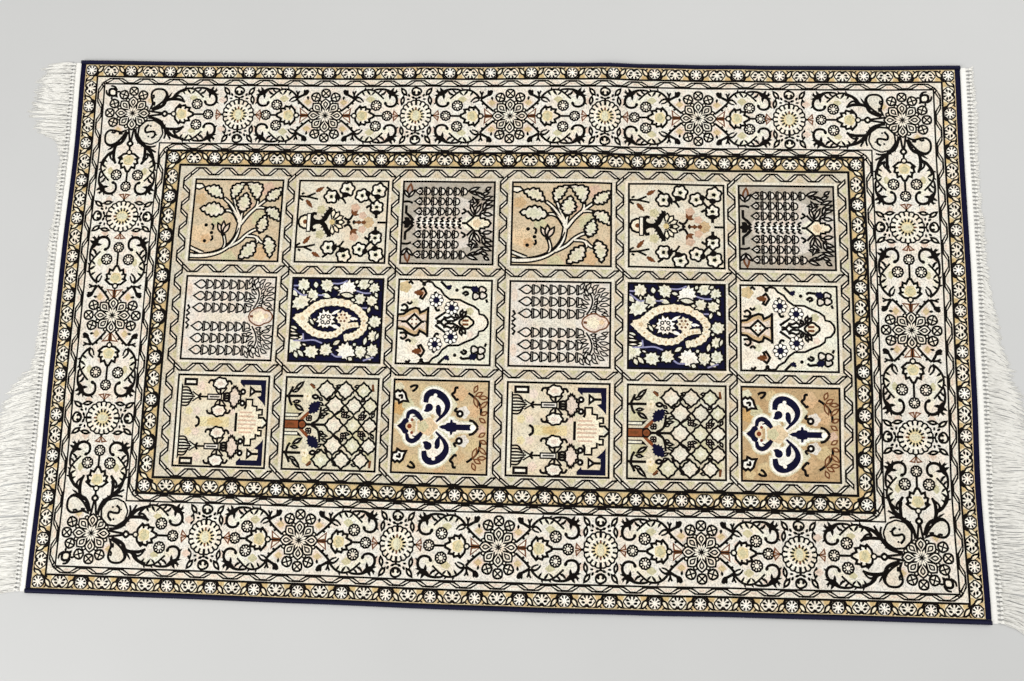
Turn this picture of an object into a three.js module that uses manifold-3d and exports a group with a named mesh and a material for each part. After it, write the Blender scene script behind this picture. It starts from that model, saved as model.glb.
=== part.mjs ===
import * as THREE from 'three';
import { mergeGeometries, mergeVertices } from 'three/addons/utils/BufferGeometryUtils.js';
import Module from 'manifold-3d';

// A small hand-knotted silk rug lying flat on a floor, with a knotted warp fringe at each short end.
// Millimetres. +X runs along the length, +Y across it and +Z up. The floor is z = 0.

// Driving dimensions
const RUG_LENGTH = 1260;        // between the outer edges of the two navy end bands
const RUG_WIDTH = 756;          // over both side cords
const PILE_THICKNESS = 4.5;     // foundation and cut pile together
const CORD_WIDTH = 7;           // overcast cord along each long side
const CORD_HEIGHT = 5;
const GAP = 0.3;                // between neighbouring pieces
const STRIP_WIDTH = 9;          // plain woven strip past each end band
const STRIP_THICKNESS = 1.6;
const STRIP_END_INSET = 2;      // the strip stops this far inside the rug's width
const STRANDS_PER_END = 136;
const STRAND_WIDTH = 3;
const STRAND_HEIGHT = 2.2;
const TIP_WIDTH = 1.8;
const TIP_HEIGHT = 1.2;
const KNOT_WIDTH = 4.3;
const KNOT_HEIGHT = 3.4;
const KNOT_FROM_STRIP = 3.2;    // middle of a fringe knot, out from the strip's edge
const KNOT_LENGTH = 5;
const ROOT_DEPTH = 2.5;         // how far a strand's root runs inside the strip
const CONTACT_LIFT = 0.4;       // ripples lower than this lie on the floor

// How finely each piece is divided
const FIELD_STEPS_X = 32;
const FIELD_STEPS_Y = 18;
const CORD_STEPS = 32;
const STRIP_STEPS = 24;
const TAIL_STEPS = 2;

// How far the edges stand out from a true rectangle: at is -1 to 1 along that side
const LONG_EDGE_WAVES = [
  { at: -1.0, north: 1.5, south: 0.0 },
  { at: -0.7, north: 0.0, south: 0.8 },
  { at: -0.4, north: -0.6, south: 2.0 },
  { at: -0.1, north: 0.6, south: 3.6 },
  { at: 0.1, north: 2.4, south: 3.4 },
  { at: 0.3, north: 0.8, south: 2.8 },
  { at: 0.5, north: -1.0, south: 1.2 },
  { at: 0.8, north: -0.6, south: 0.2 },
  { at: 1.0, north: 1.0, south: 0.0 },
];
const SHORT_EDGE_WAVES = [
  { at: -1.0, west: 1.2, east: 0.6 },
  { at: -0.55, west: -0.6, east: -3.4 },
  { at: -0.2, west: 0.8, east: -1.2 },
  { at: 0.25, west: 1.0, east: 0.2 },
  { at: 0.65, west: -1.2, east: -0.4 },
  { at: 1.0, west: 1.2, east: 0.6 },
];

// Soft ripples that lift the cloth a little: centre, half-length, half-width, turn from +X and height
const RIPPLES = [
  { x: 128, y: 300, along: 150, across: 34, turn: 80, height: 3.6 },
  { x: 196, y: 150, along: 110, across: 30, turn: 70, height: 2.6 },
  { x: 330, y: 310, along: 120, across: 36, turn: 105, height: 2.4 },
  { x: -120, y: 290, along: 110, across: 34, turn: 95, height: 2.2 },
  { x: 60, y: -300, along: 120, across: 40, turn: 88, height: 2.4 },
  { x: -360, y: -120, along: 120, across: 36, turn: 60, height: 1.8 },
  { x: 470, y: -60, along: 100, across: 34, turn: 100, height: 2.0 },
];

// The fringe as it lies: reach is out from the end band, drift is the tip's shift along Y
const WEST_FRINGE = [
  { y: 378, reach: 58, drift: 0 },
  { y: 340, reach: 70, drift: 2 },
  { y: 300, reach: 76, drift: 3 },
  { y: 272, reach: 66, drift: 3 },
  { y: 250, reach: 30, drift: 1.5 },
  { y: 225, reach: 22, drift: 1 },
  { y: 150, reach: 20, drift: 2 },
  { y: 100, reach: 23, drift: 3 },
  { y: 40, reach: 20, drift: 0 },
  { y: -20, reach: 24, drift: -1 },
  { y: -70, reach: 28, drift: -2 },
  { y: -95, reach: 56, drift: -9 },
  { y: -130, reach: 74, drift: -12 },
  { y: -240, reach: 78, drift: -7 },
  { y: -378, reach: 78, drift: -10 },
];
const EAST_FRINGE = [
  { y: 378, reach: 20, drift: 3 },
  { y: 300, reach: 23, drift: 1 },
  { y: 200, reach: 21, drift: 1 },
  { y: 120, reach: 24, drift: -1 },
  { y: 60, reach: 27, drift: -6 },
  { y: 10, reach: 36, drift: -11 },
  { y: -50, reach: 52, drift: -14.5 },
  { y: -90, reach: 66, drift: -11 },
  { y: -140, reach: 76, drift: -7 },
  { y: -240, reach: 78, drift: -2 },
  { y: -320, reach: 78, drift: -6 },
  { y: -350, reach: 76, drift: -16 },
  { y: -378, reach: 72, drift: -28 },
];
const REACH_SPREAD = 0.12;      // share by which single strands are shorter
const TIP_STRAY = 0.5;          // sideways stray of single tips

// Finishes
const SILK_PILE = new THREE.MeshStandardMaterial({ color: 0xb8aa8c, roughness: 0.62, metalness: 0 });
const NAVY_SILK = new THREE.MeshStandardMaterial({ color: 0x1b1b42, roughness: 0.6, metalness: 0 });
const FRINGE_YARN = new THREE.MeshStandardMaterial({ color: 0xe9e5d8, roughness: 0.8, metalness: 0 });

const HALF_LENGTH = RUG_LENGTH / 2;
const HALF_WIDTH = RUG_WIDTH / 2;
const FIELD_HALF_WIDTH = HALF_WIDTH - CORD_WIDTH - GAP;
const CORD_LINE = HALF_WIDTH - CORD_WIDTH / 2;

// Value of one column between the rows of a table, blended smoothly; the rows rise or fall along key
function blend(rows, key, column, value) {
  const rising = rows[rows.length - 1][key] > rows[0][key];
  const ordered = rising ? rows : [...rows].reverse();
  const clamped = THREE.MathUtils.clamp(value, ordered[0][key], ordered[ordered.length - 1][key]);
  const next = Math.max(1, ordered.findIndex((row) => row[key] >= clamped));
  const low = ordered[next - 1];
  const high = ordered[next];
  const share = (clamped - low[key]) / (high[key] - low[key]);
  return THREE.MathUtils.lerp(low[column], high[column], share * share * (3 - 2 * share));
}

// How far a ripple holds the cloth off the floor at a place
function lift(x, y) {
  let height = 0;
  for (const ripple of RIPPLES) {
    const turn = THREE.MathUtils.degToRad(ripple.turn);
    const dx = x - ripple.x;
    const dy = y - ripple.y;
    const along = (dx * Math.cos(turn) + dy * Math.sin(turn)) / ripple.along;
    const across = (dy * Math.cos(turn) - dx * Math.sin(turn)) / ripple.across;
    height += ripple.height * Math.exp(-along * along - across * across);
  }
  return Math.max(0, height - CONTACT_LIFT);
}

// Place of a point given as shares (-1 to 1) of the half-length and of a half-width
function onRug(u, v, halfWidth) {
  const end = u > 0 ? blend(SHORT_EDGE_WAVES, 'at', 'east', v) : blend(SHORT_EDGE_WAVES, 'at', 'west', v);
  const side = v > 0 ? blend(LONG_EDGE_WAVES, 'at', 'north', u) : blend(LONG_EDGE_WAVES, 'at', 'south', u);
  return new THREE.Vector2(u * (HALF_LENGTH + end), v * halfWidth + v * side);
}

// Closed geometry from points and triangles, turned so that its faces point out
function closedGeometry(points, triangles) {
  let volume = 0;
  for (const [a, b, c] of triangles) {
    volume += points[a].dot(new THREE.Vector3().crossVectors(points[b], points[c]));
  }
  const outward = volume > 0 ? triangles : triangles.map(([a, b, c]) => [a, c, b]);
  const geometry = new THREE.BufferGeometry().setFromPoints(points);
  geometry.setIndex(outward.flat());
  return geometry;
}

// Body through a row of rings with the same number of points, closed by a fan at each end
function loft(rings) {
  const sides = rings[0].length;
  const triangles = [];
  for (let ring = 0; ring < rings.length - 1; ring += 1) {
    for (let side = 0; side < sides; side += 1) {
      const a = ring * sides + side;
      const b = ring * sides + ((side + 1) % sides);
      triangles.push([a, b, b + sides], [a, b + sides, a + sides]);
    }
  }
  const last = (rings.length - 1) * sides;
  for (let side = 1; side < sides - 1; side += 1) {
    triangles.push([0, side + 1, side], [last, last + side, last + side + 1]);
  }
  return closedGeometry(rings.flat(), triangles);
}

// The knotted cloth: one slab of even thickness that follows the ripples
function fieldGeometry() {
  const columns = FIELD_STEPS_X + 1;
  const rows = FIELD_STEPS_Y + 1;
  const layer = columns * rows;
  const points = [];
  for (const height of [0, PILE_THICKNESS]) {
    for (let row = 0; row < rows; row += 1) {
      for (let column = 0; column < columns; column += 1) {
        const u = (2 * column) / FIELD_STEPS_X - 1;
        const v = (2 * row) / FIELD_STEPS_Y - 1;
        const place = onRug(u, v, FIELD_HALF_WIDTH);
        points.push(new THREE.Vector3(place.x, place.y, height + lift(place.x, place.y)));
      }
    }
  }
  const triangles = [];
  for (let row = 0; row < FIELD_STEPS_Y; row += 1) {
    for (let column = 0; column < FIELD_STEPS_X; column += 1) {
      const a = row * columns + column;
      const c = a + columns + 1;
      triangles.push([a, c, a + 1], [a, a + columns, c]);
      triangles.push([layer + a, layer + a + 1, layer + c], [layer + a, layer + c, layer + a + columns]);
    }
  }
  const wall = (from, to) => triangles.push([from, to, layer + to], [from, layer + to, layer + from]);
  for (let column = 0; column < FIELD_STEPS_X; column += 1) {
    wall(column, column + 1);
    wall(FIELD_STEPS_Y * columns + column + 1, FIELD_STEPS_Y * columns + column);
  }
  for (let row = 0; row < FIELD_STEPS_Y; row += 1) {
    wall((row + 1) * columns, row * columns);
    wall(row * columns + FIELD_STEPS_X, (row + 1) * columns + FIELD_STEPS_X);
  }
  return closedGeometry(points, triangles);
}

// Rounded cord with a flat underside along a long side: side is 1 on the north, -1 on the south
function cordGeometry(side) {
  const section = [
    { out: -0.5, up: 0 },
    { out: 0.36, up: 0 },
    { out: 0.5, up: 0.3 },
    { out: 0.42, up: 0.72 },
    { out: 0.16, up: 1 },
    { out: -0.2, up: 1 },
    { out: -0.5, up: 0.8 },
  ];
  const rings = [];
  for (let step = 0; step <= CORD_STEPS; step += 1) {
    const middle = onRug((2 * step) / CORD_STEPS - 1, side, CORD_LINE);
    const raise = lift(middle.x, middle.y);
    rings.push(section.map(({ out, up }) => (
      new THREE.Vector3(middle.x, middle.y + side * out * CORD_WIDTH, raise + up * CORD_HEIGHT)
    )));
  }
  return loft(rings);
}

// X of an end's line at a height across the rug, so far out from the end band
function endLine(end, y, out) {
  return end * Math.abs(onRug(end, y / HALF_WIDTH, HALF_WIDTH).x) + end * out;
}

function stripGeometry(end) {
  const halfLength = HALF_WIDTH - STRIP_END_INSET;
  const rings = [];
  for (let step = 0; step <= STRIP_STEPS; step += 1) {
    const y = halfLength * ((2 * step) / STRIP_STEPS - 1);
    const inner = endLine(end, y, GAP);
    const outer = endLine(end, y, GAP + STRIP_WIDTH);
    rings.push([
      new THREE.Vector3(inner, y, 0),
      new THREE.Vector3(outer, y, 0),
      new THREE.Vector3(outer, y, STRIP_THICKNESS),
      new THREE.Vector3(inner, y, STRIP_THICKNESS),
    ]);
  }
  return loft(rings);
}

// Even spread of numbers from 0 to 1 for the strands, the same each time
function stray(index, salt) {
  const wave = Math.sin(index * 12.9898 + salt * 78.233) * 43758.5453;
  return wave - Math.floor(wave);
}

// One warp bundle: root in the strip, knot, then a tail that lies on the floor
function strandGeometry(end, table, index) {
  const usable = HALF_WIDTH - STRIP_END_INSET - KNOT_WIDTH / 2;
  const y = usable * (1 - (2 * (index + 0.5)) / STRANDS_PER_END);
  const reach = blend(table, 'y', 'reach', y) * (1 - REACH_SPREAD * stray(index, end + 2));
  const drift = blend(table, 'y', 'drift', y) + TIP_STRAY * (2 * stray(index, end + 5) - 1);
  const edge = GAP + STRIP_WIDTH;
  const knot = edge + KNOT_FROM_STRIP;
  const tailStart = knot + KNOT_LENGTH / 2;
  const stations = [
    { out: edge - ROOT_DEPTH, width: STRAND_WIDTH, height: TIP_HEIGHT },
    { out: knot - KNOT_LENGTH / 2, width: STRAND_WIDTH, height: TIP_HEIGHT },
    { out: knot, width: KNOT_WIDTH, height: KNOT_HEIGHT },
  ];
  for (let step = 0; step <= TAIL_STEPS; step += 1) {
    const share = step / TAIL_STEPS;
    stations.push({
      out: THREE.MathUtils.lerp(tailStart, reach, share),
      width: THREE.MathUtils.lerp(STRAND_WIDTH, TIP_WIDTH, share),
      height: THREE.MathUtils.lerp(STRAND_HEIGHT, TIP_HEIGHT, share),
    });
  }
  const rings = stations.map(({ out, width, height }) => {
    const share = Math.max(0, out - tailStart) / (reach - tailStart);
    const middle = y + drift * share ** 1.5;
    const x = endLine(end, y, out);
    return [
      new THREE.Vector3(x, middle - width / 2, 0),
      new THREE.Vector3(x, middle + width / 2, 0),
      new THREE.Vector3(x, middle, height),
    ];
  });
  return loft(rings);
}

const wasm = await Module();
wasm.setup();

function toSolid(geometry) {
  const merged = mergeVertices(geometry);
  return new wasm.Manifold(new wasm.Mesh({
    numProp: 3,
    vertProperties: new Float32Array(merged.attributes.position.array),
    triVerts: new Uint32Array(merged.index.array),
  }));
}

function toGeometry(solid) {
  const mesh = solid.getMesh();
  const geometry = new THREE.BufferGeometry();
  geometry.setAttribute('position', new THREE.BufferAttribute(mesh.vertProperties, 3));
  geometry.setIndex(new THREE.BufferAttribute(mesh.triVerts, 1));
  return geometry;
}

function fringeGeometry(end, table) {
  const strands = [];
  for (let index = 0; index < STRANDS_PER_END; index += 1) {
    strands.push(strandGeometry(end, table, index));
  }
  return toGeometry(toSolid(stripGeometry(end)).add(toSolid(mergeGeometries(strands))));
}

function piece(name, geometry, material) {
  const mesh = new THREE.Mesh(geometry, material);
  mesh.name = name;
  return mesh;
}

const rug = new THREE.Group();
rug.add(piece('pile_field', fieldGeometry(), SILK_PILE));
rug.add(piece('side_cord_north', cordGeometry(1), NAVY_SILK));
rug.add(piece('side_cord_south', cordGeometry(-1), NAVY_SILK));
rug.add(piece('fringe_west', fringeGeometry(-1, WEST_FRINGE), FRINGE_YARN));
rug.add(piece('fringe_east', fringeGeometry(1, EAST_FRINGE), FRINGE_YARN));

// The origin is under the middle of the whole outline, fringe included
const outline = new THREE.Box3().setFromObject(rug);
const middle = outline.getCenter(new THREE.Vector3());
rug.position.set(-middle.x, -middle.y, 0);

export default rug;
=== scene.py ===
"""A hand-knotted silk rug with a garden of eighteen panels, dressed around its CAD model.

The pattern is drawn as outlines in millimetres, cut into one layer and laid on the pile's own surface.
"""

import cmath
import math
import random

import bpy
import numpy as np
from mathutils import Matrix, Vector
from mathutils.geometry import delaunay_2d_cdt


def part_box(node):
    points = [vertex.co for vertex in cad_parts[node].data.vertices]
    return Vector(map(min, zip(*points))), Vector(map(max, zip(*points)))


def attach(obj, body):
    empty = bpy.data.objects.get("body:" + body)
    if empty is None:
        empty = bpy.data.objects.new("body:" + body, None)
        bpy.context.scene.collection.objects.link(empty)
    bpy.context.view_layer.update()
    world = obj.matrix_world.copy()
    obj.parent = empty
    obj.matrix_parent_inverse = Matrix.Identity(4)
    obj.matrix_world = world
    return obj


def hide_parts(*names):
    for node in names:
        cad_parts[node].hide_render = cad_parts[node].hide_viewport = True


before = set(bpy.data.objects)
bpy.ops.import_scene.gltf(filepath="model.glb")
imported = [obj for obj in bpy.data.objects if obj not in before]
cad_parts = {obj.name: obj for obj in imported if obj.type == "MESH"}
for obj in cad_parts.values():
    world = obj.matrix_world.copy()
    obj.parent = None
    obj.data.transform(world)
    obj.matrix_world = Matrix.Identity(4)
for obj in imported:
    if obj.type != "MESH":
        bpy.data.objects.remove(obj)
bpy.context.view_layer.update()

bl_info = {
    "name": "Silk Garden Rug",
    "version": (1, 0, 0),
    "blender": (4, 5, 0),
    "location": "View3D > Sidebar > Silk Rug",
    "description": "Builds a hand-knotted silk rug with its borders, garden panels and fringe",
    "category": "Add Mesh",
}

MM = 0.001

# The rug's own sizes in millimetres, as its CAD source has them
HALF_LENGTH = 630.0
HALF_WIDTH = 378.0
PILE = 4.5
CORD_WIDTH = 7.0
CORD_HEIGHT = 5.0
GAP = 0.3
STRIP_WIDTH = 9.0
STRIP_THICKNESS = 1.6
STRIP_END_INSET = 2.0
KNOT_FROM_STRIP = 3.2
STRANDS_PER_END = 136
CONTACT_LIFT = 0.4
FIELD_HALF_WIDTH = HALF_WIDTH - CORD_WIDTH - GAP
CORD_LINE = HALF_WIDTH - CORD_WIDTH / 2
CAD_STEPS_X = 32
CAD_STEPS_Y = 18

# How far each edge stands out from a true rectangle, at -1 to 1 along it
NORTH_WAVE = ((-1, 1.5), (-0.7, 0), (-0.4, -0.6), (-0.1, 0.6), (0.1, 2.4), (0.3, 0.8), (0.5, -1), (0.8, -0.6),
              (1, 1))
SOUTH_WAVE = ((-1, 0), (-0.7, 0.8), (-0.4, 2), (-0.1, 3.6), (0.1, 3.4), (0.3, 2.8), (0.5, 1.2), (0.8, 0.2),
              (1, 0))
WEST_WAVE = ((-1, 1.2), (-0.55, -0.6), (-0.2, 0.8), (0.25, 1), (0.65, -1.2), (1, 1.2))
EAST_WAVE = ((-1, 0.6), (-0.55, -3.4), (-0.2, -1.2), (0.25, 0.2), (0.65, -0.4), (1, 0.6))

# Soft ripples: centre, half-length, half-width, turn from +X in degrees and height
RIPPLES = (
    (128, 300, 150, 34, 80, 3.6),
    (196, 150, 110, 30, 70, 2.6),
    (330, 310, 120, 36, 105, 2.4),
    (-120, 290, 110, 34, 95, 2.2),
    (60, -300, 120, 40, 88, 2.4),
    (-360, -120, 120, 36, 60, 1.8),
    (470, -60, 100, 34, 100, 2.0),
)

# The fringe as it lies: place along the end, reach past the end band and drift of the tip
WEST_FRINGE = (
    (-378, 78, -10), (-240, 78, -7), (-130, 74, -12), (-95, 56, -9), (-70, 28, -2), (-20, 24, -1),
    (40, 20, 0), (100, 23, 3), (150, 20, 2), (225, 22, 1), (250, 30, 1.5), (272, 66, 3), (300, 76, 3),
    (340, 70, 2), (378, 58, 0),
)
EAST_FRINGE = (
    (-378, 72, -28), (-350, 76, -16), (-320, 78, -6), (-240, 78, -2), (-140, 76, -7), (-90, 66, -11),
    (-50, 52, -14.5), (10, 36, -11), (60, 27, -6), (120, 24, -1), (200, 21, 1), (300, 23, 1), (378, 20, 3),
)

# Dyes of the silk, as hexadecimal colours
DYES = {
    "ink": "0d0907", "navy": "0e0e2b", "dusk": "8f8fb2", "white": "f6f4ec", "chalk": "efece2",
    "ivory": "e8e3d5", "pearl": "e2e0d0", "pale": "dad5cb", "cream": "e9e0c8", "butter": "d8cca2",
    "straw": "cbb784", "honey": "c4a06c", "amber": "c8b080", "gold": "c9b58c", "apricot": "d8c2a0",
    "peach": "ccae88", "rose": "ccb09a", "shell": "dccdbe", "blush": "d8c6b6", "sand": "c9bda3",
    "tan": "c3a983", "brown": "6a4228", "umber": "6b4024", "brick": "7c3d24", "bark": "80482a",
    "mauve": "a0948c", "sage": "d2d0b6", "moss": "c4bf9c", "mist": "dfdecd", "haze": "dbd6c8",
    # The inner guard's ground colour is partly painted shade: darker all round than its own cream
    "guard_ground": "e2d8bc", "inner_guard_ground": "b6a47e", "chain_ground": "dfdacd",
    "border_ground": "e0dcd2", "lattice_ground": "cac3b1", "panel_a": "c9b89b", "panel_b": "d8d2c0",
    "panel_c": "aea79a", "panel_d": "dcd6cc", "panel_f": "dcd8c6", "panel_g": "d8cfb8", "panel_h": "d0cab4",
    "panel_i": "c5b18d", "panel_i_east": "b59b75", "margin": "dcd6c6", "panel_c_inner": "cfc8be",
    "back": "b9aa88",
}

# Tint of the painted nap shade in the pile's soft patches, and a rosy tint for its soft blotches
NAP_SHADE_TINT = (1.0, 0.96, 0.89, 1)
ROSY_TINT = (1.03, 0.95, 0.89, 1)


def srgb(code):
    """Linear colour of a hexadecimal code."""
    parts = [int(code[k:k + 2], 16) / 255 for k in (0, 2, 4)]
    return [p / 12.92 if p <= 0.04045 else ((p + 0.055) / 1.055) ** 2.4 for p in parts]


# Where a place of the flat rug lies once it is on the floor


def wave(table, places):
    """Smooth values of a two-column table at an array of places."""
    keys, values = np.array(table, float).T
    places = np.clip(places, keys[0], keys[-1])
    k = np.clip(np.searchsorted(keys, places), 1, len(keys) - 1)
    share = (places - keys[k - 1]) / (keys[k] - keys[k - 1])
    share = share * share * (3 - 2 * share)
    return values[k - 1] + (values[k] - values[k - 1]) * share


def outline_place(x, y):
    """Move flat places out to the rug's wavy outline."""
    u = np.clip(x / HALF_LENGTH, -1, 1)
    v = np.clip(y / FIELD_HALF_WIDTH, -1, 1)
    end = np.where(u > 0, wave(EAST_WAVE, v), wave(WEST_WAVE, v))
    side = np.where(v > 0, wave(NORTH_WAVE, u), wave(SOUTH_WAVE, u))
    return x + u * end, y + v * side


def lift(x, y):
    """How far the ripples hold the cloth off the floor."""
    height = np.zeros_like(x)
    for cx, cy, along, across, turn, rise in RIPPLES:
        cos, sin = math.cos(math.radians(turn)), math.sin(math.radians(turn))
        a = ((x - cx) * cos + (y - cy) * sin) / along
        b = ((y - cy) * cos - (x - cx) * sin) / across
        height += rise * np.exp(-a * a - b * b)
    return np.maximum(0, height - CONTACT_LIFT)


def frame_shift():
    """The rug's centre in the CAD model's frame, in millimetres."""
    low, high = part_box("pile_field")
    west = HALF_LENGTH + wave(WEST_WAVE, np.linspace(-1, 1, CAD_STEPS_Y + 1)).max()
    north = FIELD_HALF_WIDTH + wave(NORTH_WAVE, np.linspace(-1, 1, CAD_STEPS_X + 1)).max()
    return low.x / MM + west, high.y / MM - north


SHIFT_X, SHIFT_Y = frame_shift()


def in_frame(x, y, z):
    """Place in the shared frame, in metres, from millimetres about the rug's middle."""
    return (x + SHIFT_X) * MM, (y + SHIFT_Y) * MM, z * MM


def laid(x, y, above):
    """Places in metres of flat points that lie a height above the cloth's underside."""
    x, y = outline_place(np.asarray(x, float), np.asarray(y, float))
    return np.stack(in_frame(x, y, lift(x, y) + above), -1)


# Drawing kit: points are complex numbers in millimetres, real along and imaginary across

LINE = 1.4

# What the pile of a knotted line adds to its drawn width
SPREAD = 1.95


def lerp(a, b, t):
    """Place or size at a share of the way from a to b."""
    return a + (b - a) * t


def facing(degrees):
    """Unit step in a direction."""
    return cmath.rect(1, math.radians(degrees))


def curve(points, steps=5):
    """Smooth path through the points."""
    ends = [2 * points[0] - points[1], *points, 2 * points[-1] - points[-2]]
    path = []
    for i in range(1, len(ends) - 2):
        a, b, c, d = ends[i - 1:i + 3]
        for k in range(steps):
            t = k / steps
            bend = (2 * a - 5 * b + 4 * c - d) * t * t
            path.append(0.5 * (2 * b + (c - a) * t + bend + (3 * b - a - 3 * c + d) * t ** 3))
    return path + [points[-1]]


def normals(path):
    """Unit steps to the left of a path at its points."""
    out = []
    last = len(path) - 1
    for i, point in enumerate(path):
        before = path[i - 1] if i else point
        after = path[i + 1] if i < last else point
        run = after - before
        out.append(1j * run / abs(run) if abs(run) > 1e-9 else 1j)
    return out


def band(path, width, end=None, bulge=0.0):
    """Outline of a stroke along a path, from width to end wide, fuller in its middle by bulge."""
    end = width if end is None else end
    across = normals(path)
    last = len(path) - 1
    sides = [[], []]
    for i, point in enumerate(path):
        t = i / last
        half = (lerp(width, end, t) + bulge * math.sin(math.pi * t)) / 2
        sides[0].append(point + across[i] * half)
        sides[1].append(point - across[i] * half)
    return sides[0] + sides[1][::-1]


def area(points):
    """Area that an outline goes round, negative if it turns clockwise."""
    return sum((a.conjugate() * b).imag for a, b in zip(points, points[1:] + points[:1])) / 2


def grown(points, by):
    """The same outline moved out by a distance, with its sharp tips held short."""
    sign = -1 if area(points) > 0 else 1
    count = len(points)
    out = []
    for i, point in enumerate(points):
        into = point - points[i - 1]
        away = points[(i + 1) % count] - point
        a = 1j * into / (abs(into) or 1)
        b = 1j * away / (abs(away) or 1)
        mid = a + b
        size = abs(mid)
        if size < 0.35:
            out.append(point + sign * by * a)
            continue
        out.append(point + sign * mid / size * by * min(1.8, 2 / size))
    return out


def ring(centre, radius, steps=14, lobes=0, depth=0.0, stretch=1.0, turn=0.0):
    """Round outline, or one with rounded lobes; stretch lengthens it along its turn."""
    points = []
    for k in range(steps):
        angle = 2 * math.pi * (k + 0.5) / steps
        size = radius * (1 - depth * (1 - abs(math.cos(lobes * angle / 2)))) if lobes else radius
        points.append(complex(stretch * size * math.cos(angle), size * math.sin(angle)))
    spin = facing(turn)
    return [centre + point * spin for point in points]


def leaf(base, tip, width, full=0.5, steps=8, bow=0.0):
    """Pointed leaf from base to tip, widest at the share full, bowed sideways."""
    run = tip - base
    side = 1j * run / abs(run)
    power = math.log(0.5) / math.log(full)
    upper = []
    lower = []
    for k in range(steps + 1):
        t = k / steps
        middle = base + run * t + side * bow * math.sin(math.pi * t)
        half = width / 2 * math.sin(math.pi * t ** power)
        upper.append(middle + side * half)
        lower.append(middle - side * half)
    return upper + lower[-2:0:-1]


def box(x0, y0, x1, y1):
    """Outline of a box."""
    return [complex(x0, y0), complex(x1, y0), complex(x1, y1), complex(x0, y1)]


def mirror(points):
    """The outline mirrored across the real axis."""
    return [point.conjugate() for point in points]


class Drawing:
    """Closed outlines with a dye each, in painter's order."""

    def __init__(self):
        self.shapes = []

    def lay(self, points, dye):
        """An outline filled with a dye."""
        self.shapes.append((points, dye))

    def edged(self, points, dye, line=LINE, ink="ink"):
        """A filled outline with a line along its edge."""
        self.lay(grown(points, (line + SPREAD) / 2), ink)
        self.lay(grown(points, -(line + SPREAD) / 2), dye)

    def line(self, points, width=LINE, end=None, dye="ink", smooth=True, bulge=0.0, steps=5):
        """A line through the points, from width to end wide."""
        path = curve(points, steps) if smooth and len(points) > 2 else points
        end = width if end is None else end
        self.lay(band(path, width + SPREAD, end + SPREAD, bulge), dye)

    def dot(self, centre, radius, dye="ink", steps=7):
        """A round spot."""
        self.lay(ring(centre, radius, steps), dye)

    def dots(self, *rows):
        """Round spots, each with its centre, radius, dye and steps."""
        for row in rows:
            self.dot(*row)

    def blots(self, *rows, shift=0):
        """Soft patches of a tone, each with its centre, radius and dye."""
        for centre, radius, dye in rows:
            self.lay(ring(centre + shift, radius, 20, 5, 0.3), dye)

    def strokes(self, *rows):
        """Lines, each with its path and widths."""
        for row in rows:
            self.line(*row)

    def leaves(self, dye, *rows, line=None, ink="ink"):
        """Leaves of one dye, each with its sizes, outlined where a line is given."""
        for row in rows:
            if line is None:
                self.lay(leaf(*row), dye)
            else:
                self.edged(leaf(*row), dye, line, ink)

    def add(self, other, spin=1, shift=0, flip=False):
        """Another drawing, mirrored across the real axis if flipped, then turned by spin and shifted."""
        for points, dye in other.shapes:
            self.lay([shift + spin * point for point in (mirror(points) if flip else points)], dye)

    def fit(self, other, from_span, to_span):
        """The drawing with its places along moved from one span to another."""
        stretch = (to_span[1] - to_span[0]) / (from_span[1] - from_span[0])
        for points, dye in other.shapes:
            self.lay([complex(to_span[0] + (p.real - from_span[0]) * stretch, p.imag) for p in points], dye)

    def both(self, other, **place):
        """The drawing and its mirror image across the real axis."""
        self.add(other, **place)
        self.add(other, flip=True, **place)


def rays(count, offset=0.0):
    """Unit steps all round; the offset is a share of their spacing."""
    return [cmath.rect(1, 2 * math.pi * (k + offset) / count) for k in range(count)]


# Guard border

def guard_rosette():
    """Eight-petalled rosette between the tips of two vines."""
    d = Drawing()
    d.edged(ring(0, 8.5, 32, 8, 0.09, turn=22.5), "chalk", 0.1)
    for ray in rays(8, 0.5):
        d.lay(leaf(2.4 * ray, 7.6 * ray, 2.7, 0.62, 5), "ink")
    for sign in (-1, 1):
        d.line([6.4 * sign - 9.4j, 9.8 * sign - 6.4j, 11.2 * sign - 1.6j], 0.1)
        d.lay(leaf(9.2 * sign + 8.4j, 12.6 * sign + 5.4j, 2.6), "ink")
    return d


def guard_palmette():
    """Fan-shaped palmette with a curled leaf on each side."""
    d = Drawing()
    d.edged(ring(-1.0j, 8.0, 24, 6, 0.14, 1.4), "ivory", -0.3)
    for sign in (-1, 1):
        d.lay(ring(4.6 * sign + 1.0j, 1.7, 8, stretch=1.5, turn=-15 * sign), "ink")
        d.leaves(
            "ink", (2.6 * sign - 2.2j, 8.6 * sign - 3.6j, 3.4, 0.6, 5),
            (1.3 * sign - 3.0j, 3.4 * sign - 8.6j, 3.0, 0.62, 5))
        d.line([3.2j, 3.6 * sign + 7.4j, 8.4 * sign + 8.2j, 13.4 * sign + 4.4j,
                19.5 * sign - 5.0j, 23 * sign - 8.4j, 26 * sign - 8.2j], 1.0, steps=3)
        d.edged(leaf(12 * sign + 7.4j, 20.4 * sign - 4.8j, 6.2, 0.5, 6), "cream", 0.6)
        d.lay(leaf(11.5 * sign - 3.6j, 16 * sign - 8.6j, 2.2, 0.5, 4), "ink")
    return d


def guard_vine(period):
    """Half of the vine from a palmette's foot to the next rosette."""
    d = Drawing()
    half = period / 2
    d.lay([10.5-8.2j, 20-8.2j, 17-4.2j, 12-2.4j], "amber")
    d.lay([half - 12 + 7.9j, half - 5.6 + 7.9j, half - 7.0 + 1.4j, half - 10.4 + 3.2j], "gold")
    d.line([25-8.4j, half - 2.4 - 9.2j, half - 7.6j], 0.3)
    return d


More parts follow.
